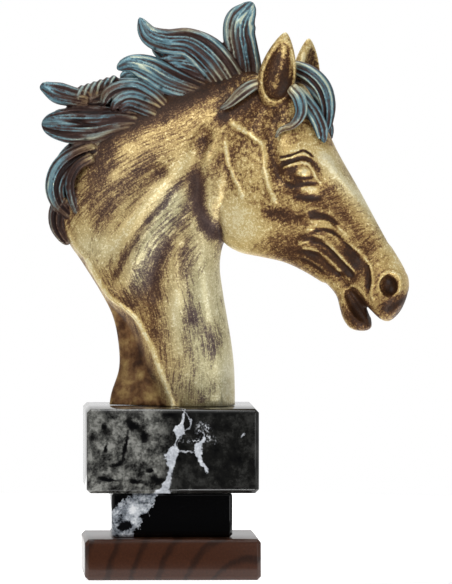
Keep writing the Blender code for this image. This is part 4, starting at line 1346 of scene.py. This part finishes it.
def casting_parts(tree):
    """The coats as they lie on the points, and the grains of the brush."""
    parts = {name: add(tree, "Attribute", output="Fac", attribute_name=name) for name in COATS}
    along_neck = {0: parts["flow_along"], 1: parts["flow_across"], 2: parts["flow_depth"]}
    along_hair = {0: parts["hair_along"], 1: parts["hair_across"], 2: parts["hair_lock"]}
    neck_place = add(tree, "CombineXYZ", along_neck)
    hair_place = add(tree, "CombineXYZ", along_hair)
    place_mm = place_in_mm(tree)
    parts["streak"] = grain_at(tree, neck_place, STREAK_MM)
    parts["fine_streak"] = grain_at(tree, neck_place, FINE_STREAK_MM)
    parts["speckle"] = grain_at(tree, place_mm, SPECKLE_MM, detail=4, roughness=0.7)
    parts["blotch"] = grain_at(tree, place_mm, BLOTCH_MM, detail=4, roughness=0.6)
    parts["mottle"] = grain_at(tree, place_mm, MOTTLE_MM, detail=4, roughness=0.65)
    parts["hair_streak"] = grain_at(tree, hair_place, HAIR_STREAK_MM)
    parts["strand_tone"] = grain_at(tree, hair_place, STRAND_TONE_MM, detail=2)
    return parts

# %% [markdown]
# Where gold covers the dark coat depends on how much gold the painter meant to leave there and on the
# grain: long strokes on the neck, dabs on the head, specks everywhere. Gold dust stays in the dark places
# too, but hardly in the deepest. The colour then runs from dark to bright with the depth of the coats.

# %% Gold on the skin
BRUSHED = {"fine_streak": 0.8, "streak": 1.1, "blotch": 0.4}
DABBED = {"blotch": 0.7, "mottle": 2.0}
SPECKED_GOLD = {"speckle": 0.6, "gold": 1.0}
GOLD_BEGINS = 0.16
GOLD_COVERS = 0.68
DUST = {"speckle": 1.0, "mottle": 0.7}
DUST_COVERS = 0.3
MOST_DUST = 0.36
DUST_IN_DEEP = 0.1
DUST_OPEN_FROM = 0.25
# Each a recipe with what it starts from
UNDER_COAT = ({"dust": 1.0, "gold": 0.24}, 0.08)
UPPER_COAT = ({"gold": 0.42}, 0.22)
SPECK_CONTRAST = ({"gold": -0.15}, 0.38)
BLOTCHED = {"blotch": 0.35}
BACK_TONE = ({"blotch": 1.3}, 0.35)


def gold_cover(tree, parts):
    """How much of a place the gold covers, from 0 to 1."""
    dabs = recipe(tree, parts, DABBED)
    grain = add(tree, "Mix", {0: parts["on_neck"], 2: dabs, 3: parts["brushed"]}, **MIX_NUMBERS)
    reached = recipe(tree, parts, SPECKED_GOLD, grain)
    edges = {0: reached, 1: GOLD_BEGINS, 2: GOLD_COVERS}
    return add(tree, "MapRange", edges, interpolation_type="SMOOTHSTEP")


def gold_dust(tree, parts):
    """Gold dust in the dark places, less of it where the painter left the deepest."""
    dust = add(tree, "MapRange", {0: recipe(tree, parts, DUST), 2: DUST_COVERS, 4: MOST_DUST})
    depth = {0: parts["gold"], 1: LEAST_GOLD, 2: DUST_OPEN_FROM, 3: DUST_IN_DEEP}
    return add(tree, "Math", {0: dust, 1: add(tree, "MapRange", depth)}, operation="MULTIPLY")


def coat_depth(tree, parts, covered):
    """How bright the coats are together, from the bare dark one at 0 to cream and painted sheen at 1."""
    under = recipe(tree, parts, *UNDER_COAT)
    upper = recipe(tree, parts, *UPPER_COAT)
    contrast = recipe(tree, parts, *SPECK_CONTRAST)
    depth = add(tree, "Math", {0: covered, 1: upper, 2: under}, operation="MULTIPLY_ADD")
    depth = add(tree, "Math", {0: parts["speckle"], 1: contrast, 2: depth}, operation="MULTIPLY_ADD")
    return recipe(tree, parts, BLOTCHED, depth)


def skin_colour(tree, parts, depth):
    """Gold and brown of the body, paler and cooler on the throat, and plain brown in the hollow back."""
    warm = add(tree, "ValToRGB", {0: depth}, stops=GOLD_COAT_AND_SHEEN)
    cool = add(tree, "ValToRGB", {0: depth}, stops=PALE_COAT)
    back = add(tree, "ValToRGB", {0: recipe(tree, parts, *BACK_TONE)}, stops=GOLD_COAT_AND_SHEEN)
    skin = add(tree, "Mix", {0: parts["pale"], 6: warm, 7: cool}, **MIX_COLOURS)
    return add(tree, "Mix", {0: parts["hollow_back"], 6: skin, 7: back}, **MIX_COLOURS)

# %% [markdown]
# The mane is blue on its ribs and dark in its grooves, and the palest blue on the crests of the ribs is a
# painted highlight. At the roots, and where the painter left the blue away, the same ribs show brown and
# gold.

# %% Blue on the mane
RIDGE = {"swell": 0.16, "rib": 0.85, "blue": 1.0, "hair_streak": 0.55, "strand_tone": 0.55, "speckle": 0.25}
ROOT_FADE = {1: 0.04, 2: 0.22, 3: 0.8, 4: 0.0}
BROWNED = {"strand_tone": 0.8, "brown": 1.0}
HAIR_EDGE = {"speckle": 0.9, "mane": 1.0}
HAIR_EDGE_FADE = {1: 0.35, 2: 0.65}


def hair_colour(tree, parts):
    ridge = recipe(tree, parts, RIDGE)
    blue = add(tree, "ValToRGB", {0: ridge}, stops=MANE_COAT_AND_CREST_HIGHLIGHT)
    brown = add(tree, "ValToRGB", {0: ridge}, stops=BROWN_HAIR_COAT)
    root = add(tree, "MapRange", {0: parts["share"], **ROOT_FADE})
    return add(tree, "Mix", {0: recipe(tree, parts, BROWNED, root), 6: blue, 7: brown}, **MIX_COLOURS)

# %% [markdown]
# The finished skin is satin, smoother where the gold is thick, with the brush marks as a shallow relief:
# brushed on the body, combed on the hair and pitted all over.

# %% The finish of the casting
RESIN_IOR = 1.42
RESIN_SPECULAR = 0.3
RESIN_ROUGHNESS = {3: 0.52, 4: 0.38}
GOLD_METALLIC = 0.36
BODY_PITS = {"speckle": 0.3, "brushed": 1.0}
HAIR_PITS = {"speckle": 0.2, "hair_streak": 1.0}
BRUSH_RELIEF = {"Strength": 0.3, "Distance": 0.0003}


def casting_finish():
    made, tree, shader = new_material("antique_gold_on_resin")
    parts = casting_parts(tree)
    parts["brushed"] = recipe(tree, parts, BRUSHED)
    parts["dust"] = gold_dust(tree, parts)
    covered = gold_cover(tree, parts)
    depth = coat_depth(tree, parts, covered)
    edge = add(tree, "MapRange", {0: recipe(tree, parts, HAIR_EDGE), **HAIR_EDGE_FADE})
    skin = skin_colour(tree, parts, depth)
    colour = add(tree, "Mix", {0: edge, 6: skin, 7: hair_colour(tree, parts)}, **MIX_COLOURS)
    # Painted shade of the pinholes: near-black dots
    colour = add(tree, "Mix", {0: parts["pinhole_shade"], 6: colour, 7: BUBBLE_SHADE}, **MIX_COLOURS)
    tree.links.new(colour, shader.inputs["Base Color"])
    roughness = add(tree, "MapRange", {0: depth, **RESIN_ROUGHNESS})
    tree.links.new(roughness, shader.inputs["Roughness"])
    metallic = add(tree, "Math", {0: covered, 1: GOLD_METALLIC}, operation="MULTIPLY")
    tree.links.new(metallic, shader.inputs["Metallic"])
    shader.inputs["IOR"].default_value = RESIN_IOR
    shader.inputs["Specular IOR Level"].default_value = RESIN_SPECULAR
    body = recipe(tree, parts, BODY_PITS)
    hair = recipe(tree, parts, HAIR_PITS)
    height = add(tree, "Mix", {0: edge, 2: body, 3: hair}, **MIX_NUMBERS)
    bump = add(tree, "Bump", {"Height": height, **BRUSH_RELIEF})
    tree.links.new(bump, shader.inputs["Normal"])
    return made


figure.data.materials.append(casting_finish())
print("casting finish", figure.data.materials[0].name)

# %% [markdown]
# The plinth is three sawn and polished slabs, glued together. Each is a cube that is scaled to its node's
# box, chamfered, and then has its sharp lines eased by a hair's breadth, as polishing does.

# %% The slabs of the plinth
EDGE_EASE = 0.00018
SHARP_FROM = math.radians(35)
CHAMFER = {"wooden_foot": 0.0019, "marble_waist": 0.0013, "marble_block": 0.0020}


def slab(node):
    """A chamfered and polished slab in the place of a node."""
    low, high = (Vector(corner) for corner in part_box(node))
    block = bmesh.new()
    bmesh.ops.create_cube(block, size=1)
    bmesh.ops.scale(block, vec=high - low, verts=block.verts)
    bmesh.ops.translate(block, vec=(low + high) / 2, verts=block.verts)
    for width, segments in ((CHAMFER[node], 1), (EDGE_EASE, 2)):
        bmesh.ops.bevel(
            block, geom=block.edges[:], offset=width, segments=segments, profile=0.5, affect="EDGES",
            material=-1, clamp_overlap=True,
        )
    obj = object_of("polished_" + node, block)
    obj.data.shade_smooth()
    obj.data.set_sharp_from_angle(angle=SHARP_FROM)
    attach(obj, "root")
    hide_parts(node)
    return obj


slabs = {node: slab(node) for node in CHAMFER}
print("slabs", {node: len(obj.data.polygons) for node, obj in slabs.items()})

# %% [markdown]
# Black marble is limestone full of soot-black carbon, cut by cracks that white calcite has filled. The
# cracks are thin sheets through the stone, so each vein is a wavy plane: its place is a curve over the
# height, and so is its width. Grey clouds lie in the left half of the upper block.

# %% Veins, spots and colours of the marble
# Spots: middle x and z, half width, half height in millimetres, and tilt in degrees
BLACK_SPOTS = [
    (-20.2, 80.0, 4.6, 2.0, 25), (-24.6, 70.0, 1.1, 7.5, 8), (-15.0, 74.5, 1.6, 2.8, 0),
    (-35.4, 79.0, 1.4, 1.8, 0), (-35.0, 68.0, 0.9, 3.4, 25), (-28.8, 60.0, 3.6, 1.2, -15),
    (-11.8, 56.5, 1.8, 1.1, 0), (-18.8, 51.5, 3.4, 1.4, 10), (-33.0, 52.0, 5.0, 0.9, 5),
    (-2.0, 85.5, 3.6, 1.6, 0), (-8.0, 51.5, 3.2, 2.0, 0),
]
WHITE_SPOTS = [(6.4, 66.8, 3.6, 0.6, 0), (35.8, 75.0, 0.6, 1.6, 28), (16.8, 57.4, 0.9, 1.3, -40)]
WHITE_GRAINS = [(13.6, 72.2, 7.4, 1.2, 0), (15.4, 78.4, 3.4, 2.6, 30), (18.0, 73.5, 3.0, 1.6, 0)]
BAND_CORE = [(-20.5, 33.4, 3.0, 5.5, 12)]
BAND_HOLE = [(-24.3, 27.4, 3.2, 1.9, -15)]

# Veins: (height, middle x) all the way up, then (height, half width), in millimetres
BLOCK_VEINS = {
    "main": (
        [(46.9, -4.2), (57, -1.3), (66, -0.5), (71.5, 1.8), (78, 3.6), (83, 5.0), (88.6, 6.6)],
        [
            (46.9, 3.2), (50, 2.0), (58, 1.6), (65.5, 4.2), (70, 1.1), (72, 0.5), (77.5, 2.9), (82, 0.9),
            (88.6, 0.6),
        ],
    ),
    "second": (
        [(46.9, 19.0), (56, 17.6), (62, 14.2), (69, 13.2), (74, 16.2), (80, 14.8), (88.6, 14.0)],
        [
            (46.9, -1.0), (54, -0.3), (58, 1.1), (63, 1.3), (68, 2.1), (71, 1.6), (74, 0.6), (78, 0.1),
            (88.6, -1.0),
        ],
    ),
    "loop": (
        [(46.9, 2.0), (60, 2.0), (76, 5.0), (80, 9.0), (84, 8.6), (88.6, 5.0)],
        [(46.9, 0.0), (60, 0.0), (74, 0.25), (80, 0.5), (85, 0.5), (88.6, 0.4)],
    ),
}
WAIST_BAND = (
    [(21.6, -26.5), (26.3, -25.7), (33.7, -22.5), (35.6, -21.5), (39.3, -18.2), (44.6, -13.7)],
    [(21.6, 6.8), (26.3, 7.6), (33.7, 8.8), (35.6, 9.0), (39.3, 8.0), (44.6, 7.4)],
)
BLACK_STONE = [
    (0.0, "#070708"), (0.2, "#151514"), (0.45, "#373735"), (0.7, "#5b5b57"), (1.0, "#868681"),
]
CALCITE = [(0.0, "#3b3e42"), (0.35, "#75787d"), (0.7, "#adb1b8"), (1.0, "#dfe2e6")]
BROKEN_CALCITE = [
    (0.0, "#0c0d10"), (0.25, "#34383e"), (0.5, "#878d95"), (0.75, "#c4c9cf"), (1.0, "#f0f2f4"),
]
print("veins", list(BLOCK_VEINS), "and", len(BLACK_SPOTS), "black spots")

# %% Grains and veins of the stone
WAVE_MM = (5, 12, 5)
RIPPLE_MM = (4, 12, 4)
CLOUD_MM = (9,) * 3
PATCH_MM = (5,) * 3
DOT_MM = (1.1,) * 3
VEIN_SLANT = 0.22
MIDDLE_REACH = 45
WIDTH_REACH = 12
VEIN_BREAKS = ({"patch": 2.4}, 1.0)
VEIN_EDGE = {1: -0.05, 2: 0.45}
SPOT_RAGS = {"patch": 1.8}


def stone_parts(tree, node, bend, patch_roughness):
    """x and z in millimetres, bent a little by noise and slanting with the depth behind the front, the
    grains of the stone, and where its height starts and ends."""
    (_, front, low), (_, _, high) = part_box(node)
    place = place_in_mm(tree)
    along = add(tree, "SeparateXYZ", {0: place}).node.outputs
    wave = grain_at(tree, place, WAVE_MM, detail=6, roughness=0.72)
    ripple = grain_at(tree, place, RIPPLE_MM, detail=6, roughness=0.75)
    depth = add(tree, "Math", {0: along[1], 1: front * 1000}, operation="SUBTRACT")
    slanted = add(tree, "Math", {0: depth, 1: VEIN_SLANT, 2: along[0]}, operation="MULTIPLY_ADD")
    return {
        "place": place,
        "x": add(tree, "Math", {0: wave, 1: bend, 2: slanted}, operation="MULTIPLY_ADD"),
        "z": add(tree, "Math", {0: ripple, 1: bend, 2: along[2]}, operation="MULTIPLY_ADD"),
        "patch": grain_at(tree, place, PATCH_MM, detail=5, roughness=patch_roughness),
        "dot": grain_at(tree, place, DOT_MM, detail=3, roughness=0.7),
        "heights": (low * 1000, high * 1000),
    }


def curve_over(tree, parts, points, reach):
    """A smooth curve through points of (height, value) in millimetres. No value is over the reach."""
    low, high = parts["heights"]
    share = add(tree, "MapRange", {0: parts["z"], 1: low, 2: high})
    curve = add(tree, "FloatCurve", {"Value": share})
    line = curve.node.mapping.curves[0]
    for _ in points[2:]:
        line.points.new(0.5, 0.5)
    for point, (at, value) in zip(sorted(line.points, key=lambda p: p.location[0]), points):
        point.location = ((at - low) / (high - low), 0.5 + value / (2 * reach))
    curve.node.mapping.update()
    return recipe(tree, {"curve": curve}, {"curve": 2 * reach}, -reach)


def vein(tree, parts, centre, width):
    """How much of a vein there is at a place, from its centre and half width over the height."""
    middle = curve_over(tree, parts, centre, MIDDLE_REACH)
    breaks = recipe(tree, parts, *VEIN_BREAKS)
    half = curve_over(tree, parts, width, WIDTH_REACH)
    half = add(tree, "Math", {0: half, 1: breaks}, operation="MULTIPLY")
    off = add(tree, "Math", {0: parts["x"], 1: middle}, operation="SUBTRACT")
    off = add(tree, "Math", {0: off}, operation="ABSOLUTE")
    inside = add(tree, "Math", {0: half, 1: off}, operation="SUBTRACT")
    return add(tree, "MapRange", {0: inside, **VEIN_EDGE})


def spotted(tree, parts, spots, softness, rags=SPOT_RAGS):
    """How much of any spot there is at a place."""
    flat = add(tree, "CombineXYZ", {0: parts["x"], 1: 0.0, 2: parts["z"]})
    most = None
    for middle_x, middle_z, wide, high, tilt in spots:
        shape = {
            "Vector": flat,
            "Location": (middle_x, 0, middle_z),
            "Rotation": (0, math.radians(tilt), 0),
            "Scale": (wide, 1, high),
        }
        local = add(tree, "Mapping", shape, vector_type="TEXTURE")
        away = add(tree, "VectorMath", {0: local}, output="Value", operation="LENGTH")
        most = away if most is None else add(tree, "Math", {0: most, 1: away}, operation="MINIMUM")
    most = recipe(tree, parts, rags, most)
    return add(tree, "MapRange", {0: most, 1: 1.0 + softness, 2: 1.0 - softness})

# %% [markdown]
# The upper block has clouds, three broken veins and some loose white grains. Polishing gives it a gloss
# like glass, with the index of refraction of limestone.

# %% Polished black marble
MARBLE_IOR = 1.55
MARBLE_ROUGHNESS = 0.06
CLOUDED_TO = {"x": 1.0, "patch": 22.0}
CLOUDED_FADE = {1: 3.0, 2: -7.0, 3: 0.34, 4: 1.0}
CLOUD_TONE = ({"dot": 0.9, "cloud": 1.9, "patch": 2.1}, 0.60)
CALCITE_TONE = ({"patch": 0.8, "dot": 0.9}, 0.72)
GRAIN_EDGE = {1: 0.02, 2: 0.09}
SPECK_COVER = 0.8
DOT_RAGS = {"dot": 1.8}


def polish(shader):
    shader.inputs["IOR"].default_value = MARBLE_IOR
    shader.inputs["Roughness"].default_value = MARBLE_ROUGHNESS


def clouded_stone(tree, parts):
    """Black stone with grey clouds on the left and black spots in them."""
    left = add(tree, "MapRange", {0: recipe(tree, parts, CLOUDED_TO), **CLOUDED_FADE})
    grey = add(tree, "Math", {0: recipe(tree, parts, *CLOUD_TONE), 1: left}, operation="MULTIPLY")
    dark = spotted(tree, parts, BLACK_SPOTS, softness=0.45)
    kept = add(tree, "Math", {0: 1.0, 1: dark}, operation="SUBTRACT")
    grey = add(tree, "Math", {0: grey, 1: kept}, operation="MULTIPLY")
    return add(tree, "ValToRGB", {0: grey}, stops=BLACK_STONE)


def white_specks(tree, parts):
    """How much calcite lies beside the veins, as whole spots and as loose grains."""
    specks = spotted(tree, parts, WHITE_SPOTS, softness=0.3, rags=DOT_RAGS)
    grains = add(tree, "MapRange", {0: parts["dot"], **GRAIN_EDGE})
    near = spotted(tree, parts, WHITE_GRAINS, softness=0.5)
    grains = add(tree, "Math", {0: near, 1: grains}, operation="MULTIPLY")
    most = add(tree, "Math", {0: specks, 1: grains}, operation="MAXIMUM")
    return add(tree, "Math", {0: most, 1: SPECK_COVER}, operation="MULTIPLY")


def block_marble():
    """Black marble with grey clouds to the left of a broken white vein."""
    made, tree, shader = new_material("black_marble_clouded")
    parts = stone_parts(tree, "marble_block", bend=5.0, patch_roughness=0.6)
    parts["cloud"] = grain_at(tree, parts["place"], CLOUD_MM, detail=6, roughness=0.65)
    stone = clouded_stone(tree, parts)
    calcite = add(tree, "ValToRGB", {0: recipe(tree, parts, *CALCITE_TONE)}, stops=CALCITE)
    for centre, width in BLOCK_VEINS.values():
        stone = add(tree, "Mix", {0: vein(tree, parts, centre, width), 6: stone, 7: calcite}, **MIX_COLOURS)
    stone = add(tree, "Mix", {0: white_specks(tree, parts), 6: stone, 7: calcite}, **MIX_COLOURS)
    tree.links.new(stone, shader.inputs["Base Color"])
    polish(shader)
    return made


slabs["marble_block"].data.materials.append(block_marble())
print("block", slabs["marble_block"].data.materials[0].name)

# %% [markdown]
# The waist is the same stone, where a broad band of broken calcite runs down through it.

# %% Banded black marble
BAND_TONE = ({"patch": 2.2, "dot": 1.0, "core": 0.45, "hole": -1.2}, 0.48)
DUST_SPECKS = {1: 0.27, 2: 0.32, 3: 0.0, 4: 0.5}
WAIST_BLACK = linear("#040405")
WAIST_SPECK = linear("#8a8d92")


def waist_marble():
    """Nearly black stone with a few grey specks, and the band across it."""
    made, tree, shader = new_material("black_marble_banded")
    parts = stone_parts(tree, "marble_waist", bend=2.2, patch_roughness=0.65)
    parts["core"] = spotted(tree, parts, BAND_CORE, softness=0.6)
    parts["hole"] = spotted(tree, parts, BAND_HOLE, softness=0.4)
    calcite = add(tree, "ValToRGB", {0: recipe(tree, parts, *BAND_TONE)}, stops=BROKEN_CALCITE)
    specks = add(tree, "MapRange", {0: parts["dot"], **DUST_SPECKS})
    stone = add(tree, "Mix", {0: specks, 6: WAIST_BLACK, 7: WAIST_SPECK}, **MIX_COLOURS)
    band = vein(tree, parts, *WAIST_BAND)
    stone = add(tree, "Mix", {0: band, 6: stone, 7: calcite}, **MIX_COLOURS)
    tree.links.new(stone, shader.inputs["Base Color"])
    polish(shader)
    return made


slabs["marble_waist"].data.materials.append(waist_marble())
print("waist", slabs["marble_waist"].data.materials[0].name)

# %% [markdown]
# The foot is wood stained dark walnut under lacquer. The slab was cut with its grain running front to
# back, so its front shows the year rings as wide arcs round a middle low on the right, and its sides
# show them as long lines.

# %% Stained and lacquered wood
RING_MIDDLE_MM = (40, 0, -12)
RING_WIDTH_MM = 13.0
RING_WAVER_MM = 7.0
RINGS_STRETCHED = (1, 0.05, 1)
WAVER_MM = (14, 60, 14)
FIBRE_MM = (1.2, 20, 1.2)
PORE_MM = (0.35, 8, 0.35)
LATE_WOOD_BEGINS = {1: 0.60, 2: 0.82}
LATE_WOOD_ENDS = {1: 0.84, 2: 0.98, 3: 1.0, 4: 0.0}
WOOD_TONE = ({"late": -0.25, "fibre": 0.45, "pore": 0.22}, 0.58)
WALNUT_STAIN = [
    (0.0, "#160a06"), (0.35, "#2b170e"), (0.62, "#412416"), (0.85, "#52321f"), (1.0, "#63412b"),
]
LACQUER = {
    "Roughness": 0.30,
    "Specular IOR Level": 0.25,
    "Coat Weight": 0.35,
    "Coat Roughness": 0.10,
}
PORE_RELIEF = {"Strength": 0.25, "Distance": 0.0002}


def late_wood(tree, place):
    """How much of the dark late wood of a year ring there is at a place."""
    flat = add(tree, "VectorMath", {0: place, 1: RINGS_STRETCHED}, operation="MULTIPLY")
    away = add(tree, "VectorMath", {0: flat, 1: RING_MIDDLE_MM}, output="Value", operation="DISTANCE")
    waver = {"waver": grain_at(tree, place, WAVER_MM, detail=3, roughness=0.5)}
    away = recipe(tree, waver, {"waver": RING_WAVER_MM}, away)
    ring = add(tree, "Math", {0: away, 1: RING_WIDTH_MM}, operation="DIVIDE")
    ring = add(tree, "Math", {0: ring}, operation="FRACT")
    begun = add(tree, "MapRange", {0: ring, **LATE_WOOD_BEGINS}, interpolation_type="SMOOTHSTEP")
    left = add(tree, "MapRange", {0: ring, **LATE_WOOD_ENDS}, interpolation_type="SMOOTHSTEP")
    return add(tree, "Math", {0: begun, 1: left}, operation="MULTIPLY")


def stained_wood():
    made, tree, shader = new_material("walnut_stained_lacquered_wood")
    place = place_in_mm(tree)
    parts = {
        "late": late_wood(tree, place),
        "fibre": grain_at(tree, place, FIBRE_MM, detail=4, roughness=0.6),
        "pore": grain_at(tree, place, PORE_MM, detail=3, roughness=0.6),
    }
    colour = add(tree, "ValToRGB", {0: recipe(tree, parts, *WOOD_TONE)}, stops=WALNUT_STAIN)
    tree.links.new(colour, shader.inputs["Base Color"])
    for name, value in LACQUER.items():
        shader.inputs[name].default_value = value
    bump = add(tree, "Bump", {"Height": parts["pore"], **PORE_RELIEF})
    tree.links.new(bump, shader.inputs["Normal"])
    return made


slabs["wooden_foot"].data.materials.append(stained_wood())
print("rings every", RING_WIDTH_MM, "mm")

# %% [markdown]
# The studio is a pale round table and soft light: a large lamp high on the left in front, weaker ones
# on the right and low in front, and one above. Behind the trophy stands a white backdrop, which the world
# gives. The walls are pale too, but a dark screen stands round the camera, because the polished black
# stone mirrors what is there.

# %% The table
TABLE_RADIUS = 0.40
TABLE_MIDDLE = 0.33
WHITE = (1, 1, 1, 1)
PAPER = [(0.0, "#f6f6f5"), (0.5, "#fafaf9"), (1.0, "#fdfdfd")]
# Cells in a metre: paper fibres, drawn a millimetre wide to show
PAPER_GRAIN = 900.0
PAPER_LOOKS = {"Roughness": 0.9, "Emission Color": WHITE, "Emission Strength": 0.7}


def floor_disc():
    disc = bmesh.new()
    bmesh.ops.create_circle(disc, cap_ends=True, segments=96, radius=TABLE_RADIUS)
    bmesh.ops.translate(disc, vec=(0, TABLE_MIDDLE, 0), verts=disc.verts)
    made, tree, shader = new_material("pale_paper")
    object_place = add(tree, "TexCoord", output="Object")
    grain = add(tree, "TexNoise", {"Vector": object_place, "Scale": PAPER_GRAIN})
    tree.links.new(add(tree, "ValToRGB", {0: grain}, stops=PAPER), shader.inputs["Base Color"])
    for name, value in PAPER_LOOKS.items():
        shader.inputs[name].default_value = value
    floor = object_of("floor", disc)
    floor.data.materials.append(made)
    return floor


floor_disc()
print("table", TABLE_RADIUS * 2, "m wide")

# %% The lamps
# Lamps: place, size and power
LAMPS = {
    "key": ((-1.2, -1.6, 1.35), 1.1, 26),
    "fill": ((1.5, -1.8, 0.35), 1.3, 14),
    "low": ((0.35, -1.2, -0.85), 0.6, 14),
    "top": ((0.1, 0.5, 1.9), 1.4, 16),
}


def lamp(name, place, size, power):
    """A square lamp that points at the middle of the trophy."""
    light = bpy.data.lights.new(name, "AREA")
    light.size = size
    light.energy = power
    obj = bpy.data.objects.new(name, light)
    obj.location = place
    obj.rotation_euler = (AIM - Vector(place)).to_track_quat("-Z", "Y").to_euler()
    bpy.context.scene.collection.objects.link(obj)


for name, (where, size, power) in LAMPS.items():
    lamp(name, where, size, power)
print("lamps", list(LAMPS))

# %% The room
SCREEN_LIGHT = 0.03
ROOM_LIGHT = 0.30
BACKDROP_LIGHT = 0.85
BACKDROP_FADE = {1: 0.2, 2: 0.9, 3: ROOM_LIGHT, 4: BACKDROP_LIGHT}
SCREEN_FADE = {1: -0.94, 2: -0.72, 3: SCREEN_LIGHT, 4: ROOM_LIGHT}


def studio_world():
    """The room: a white backdrop behind, pale walls, a dark screen in front, and white to look at."""
    world = bpy.data.worlds.new("studio")
    world.use_nodes = True
    room = world.node_tree
    direction = add(room, "TexCoord", output="Generated")
    backward = add(room, "SeparateXYZ", {0: direction}, output="Y")
    lit = add(room, "MapRange", {0: backward, **BACKDROP_FADE})
    screen = add(room, "MapRange", {0: backward, **SCREEN_FADE})
    behind = add(room, "Math", {0: backward}, operation="SIGN")
    screen = add(room, "Math", {0: screen, 1: behind}, operation="MAXIMUM")
    lit = add(room, "Math", {0: lit, 1: screen}, operation="MINIMUM")
    seen = add(room, "LightPath", output="Is Camera Ray")
    strength = add(room, "Math", {0: lit, 1: seen}, operation="MAXIMUM")
    background = room.nodes["Background"]
    background.inputs["Color"].default_value = WHITE
    room.links.new(strength, background.inputs["Strength"])
    return world


bpy.context.scene.world = studio_world()
print("backdrop", BACKDROP_LIGHT, "walls", ROOM_LIGHT)
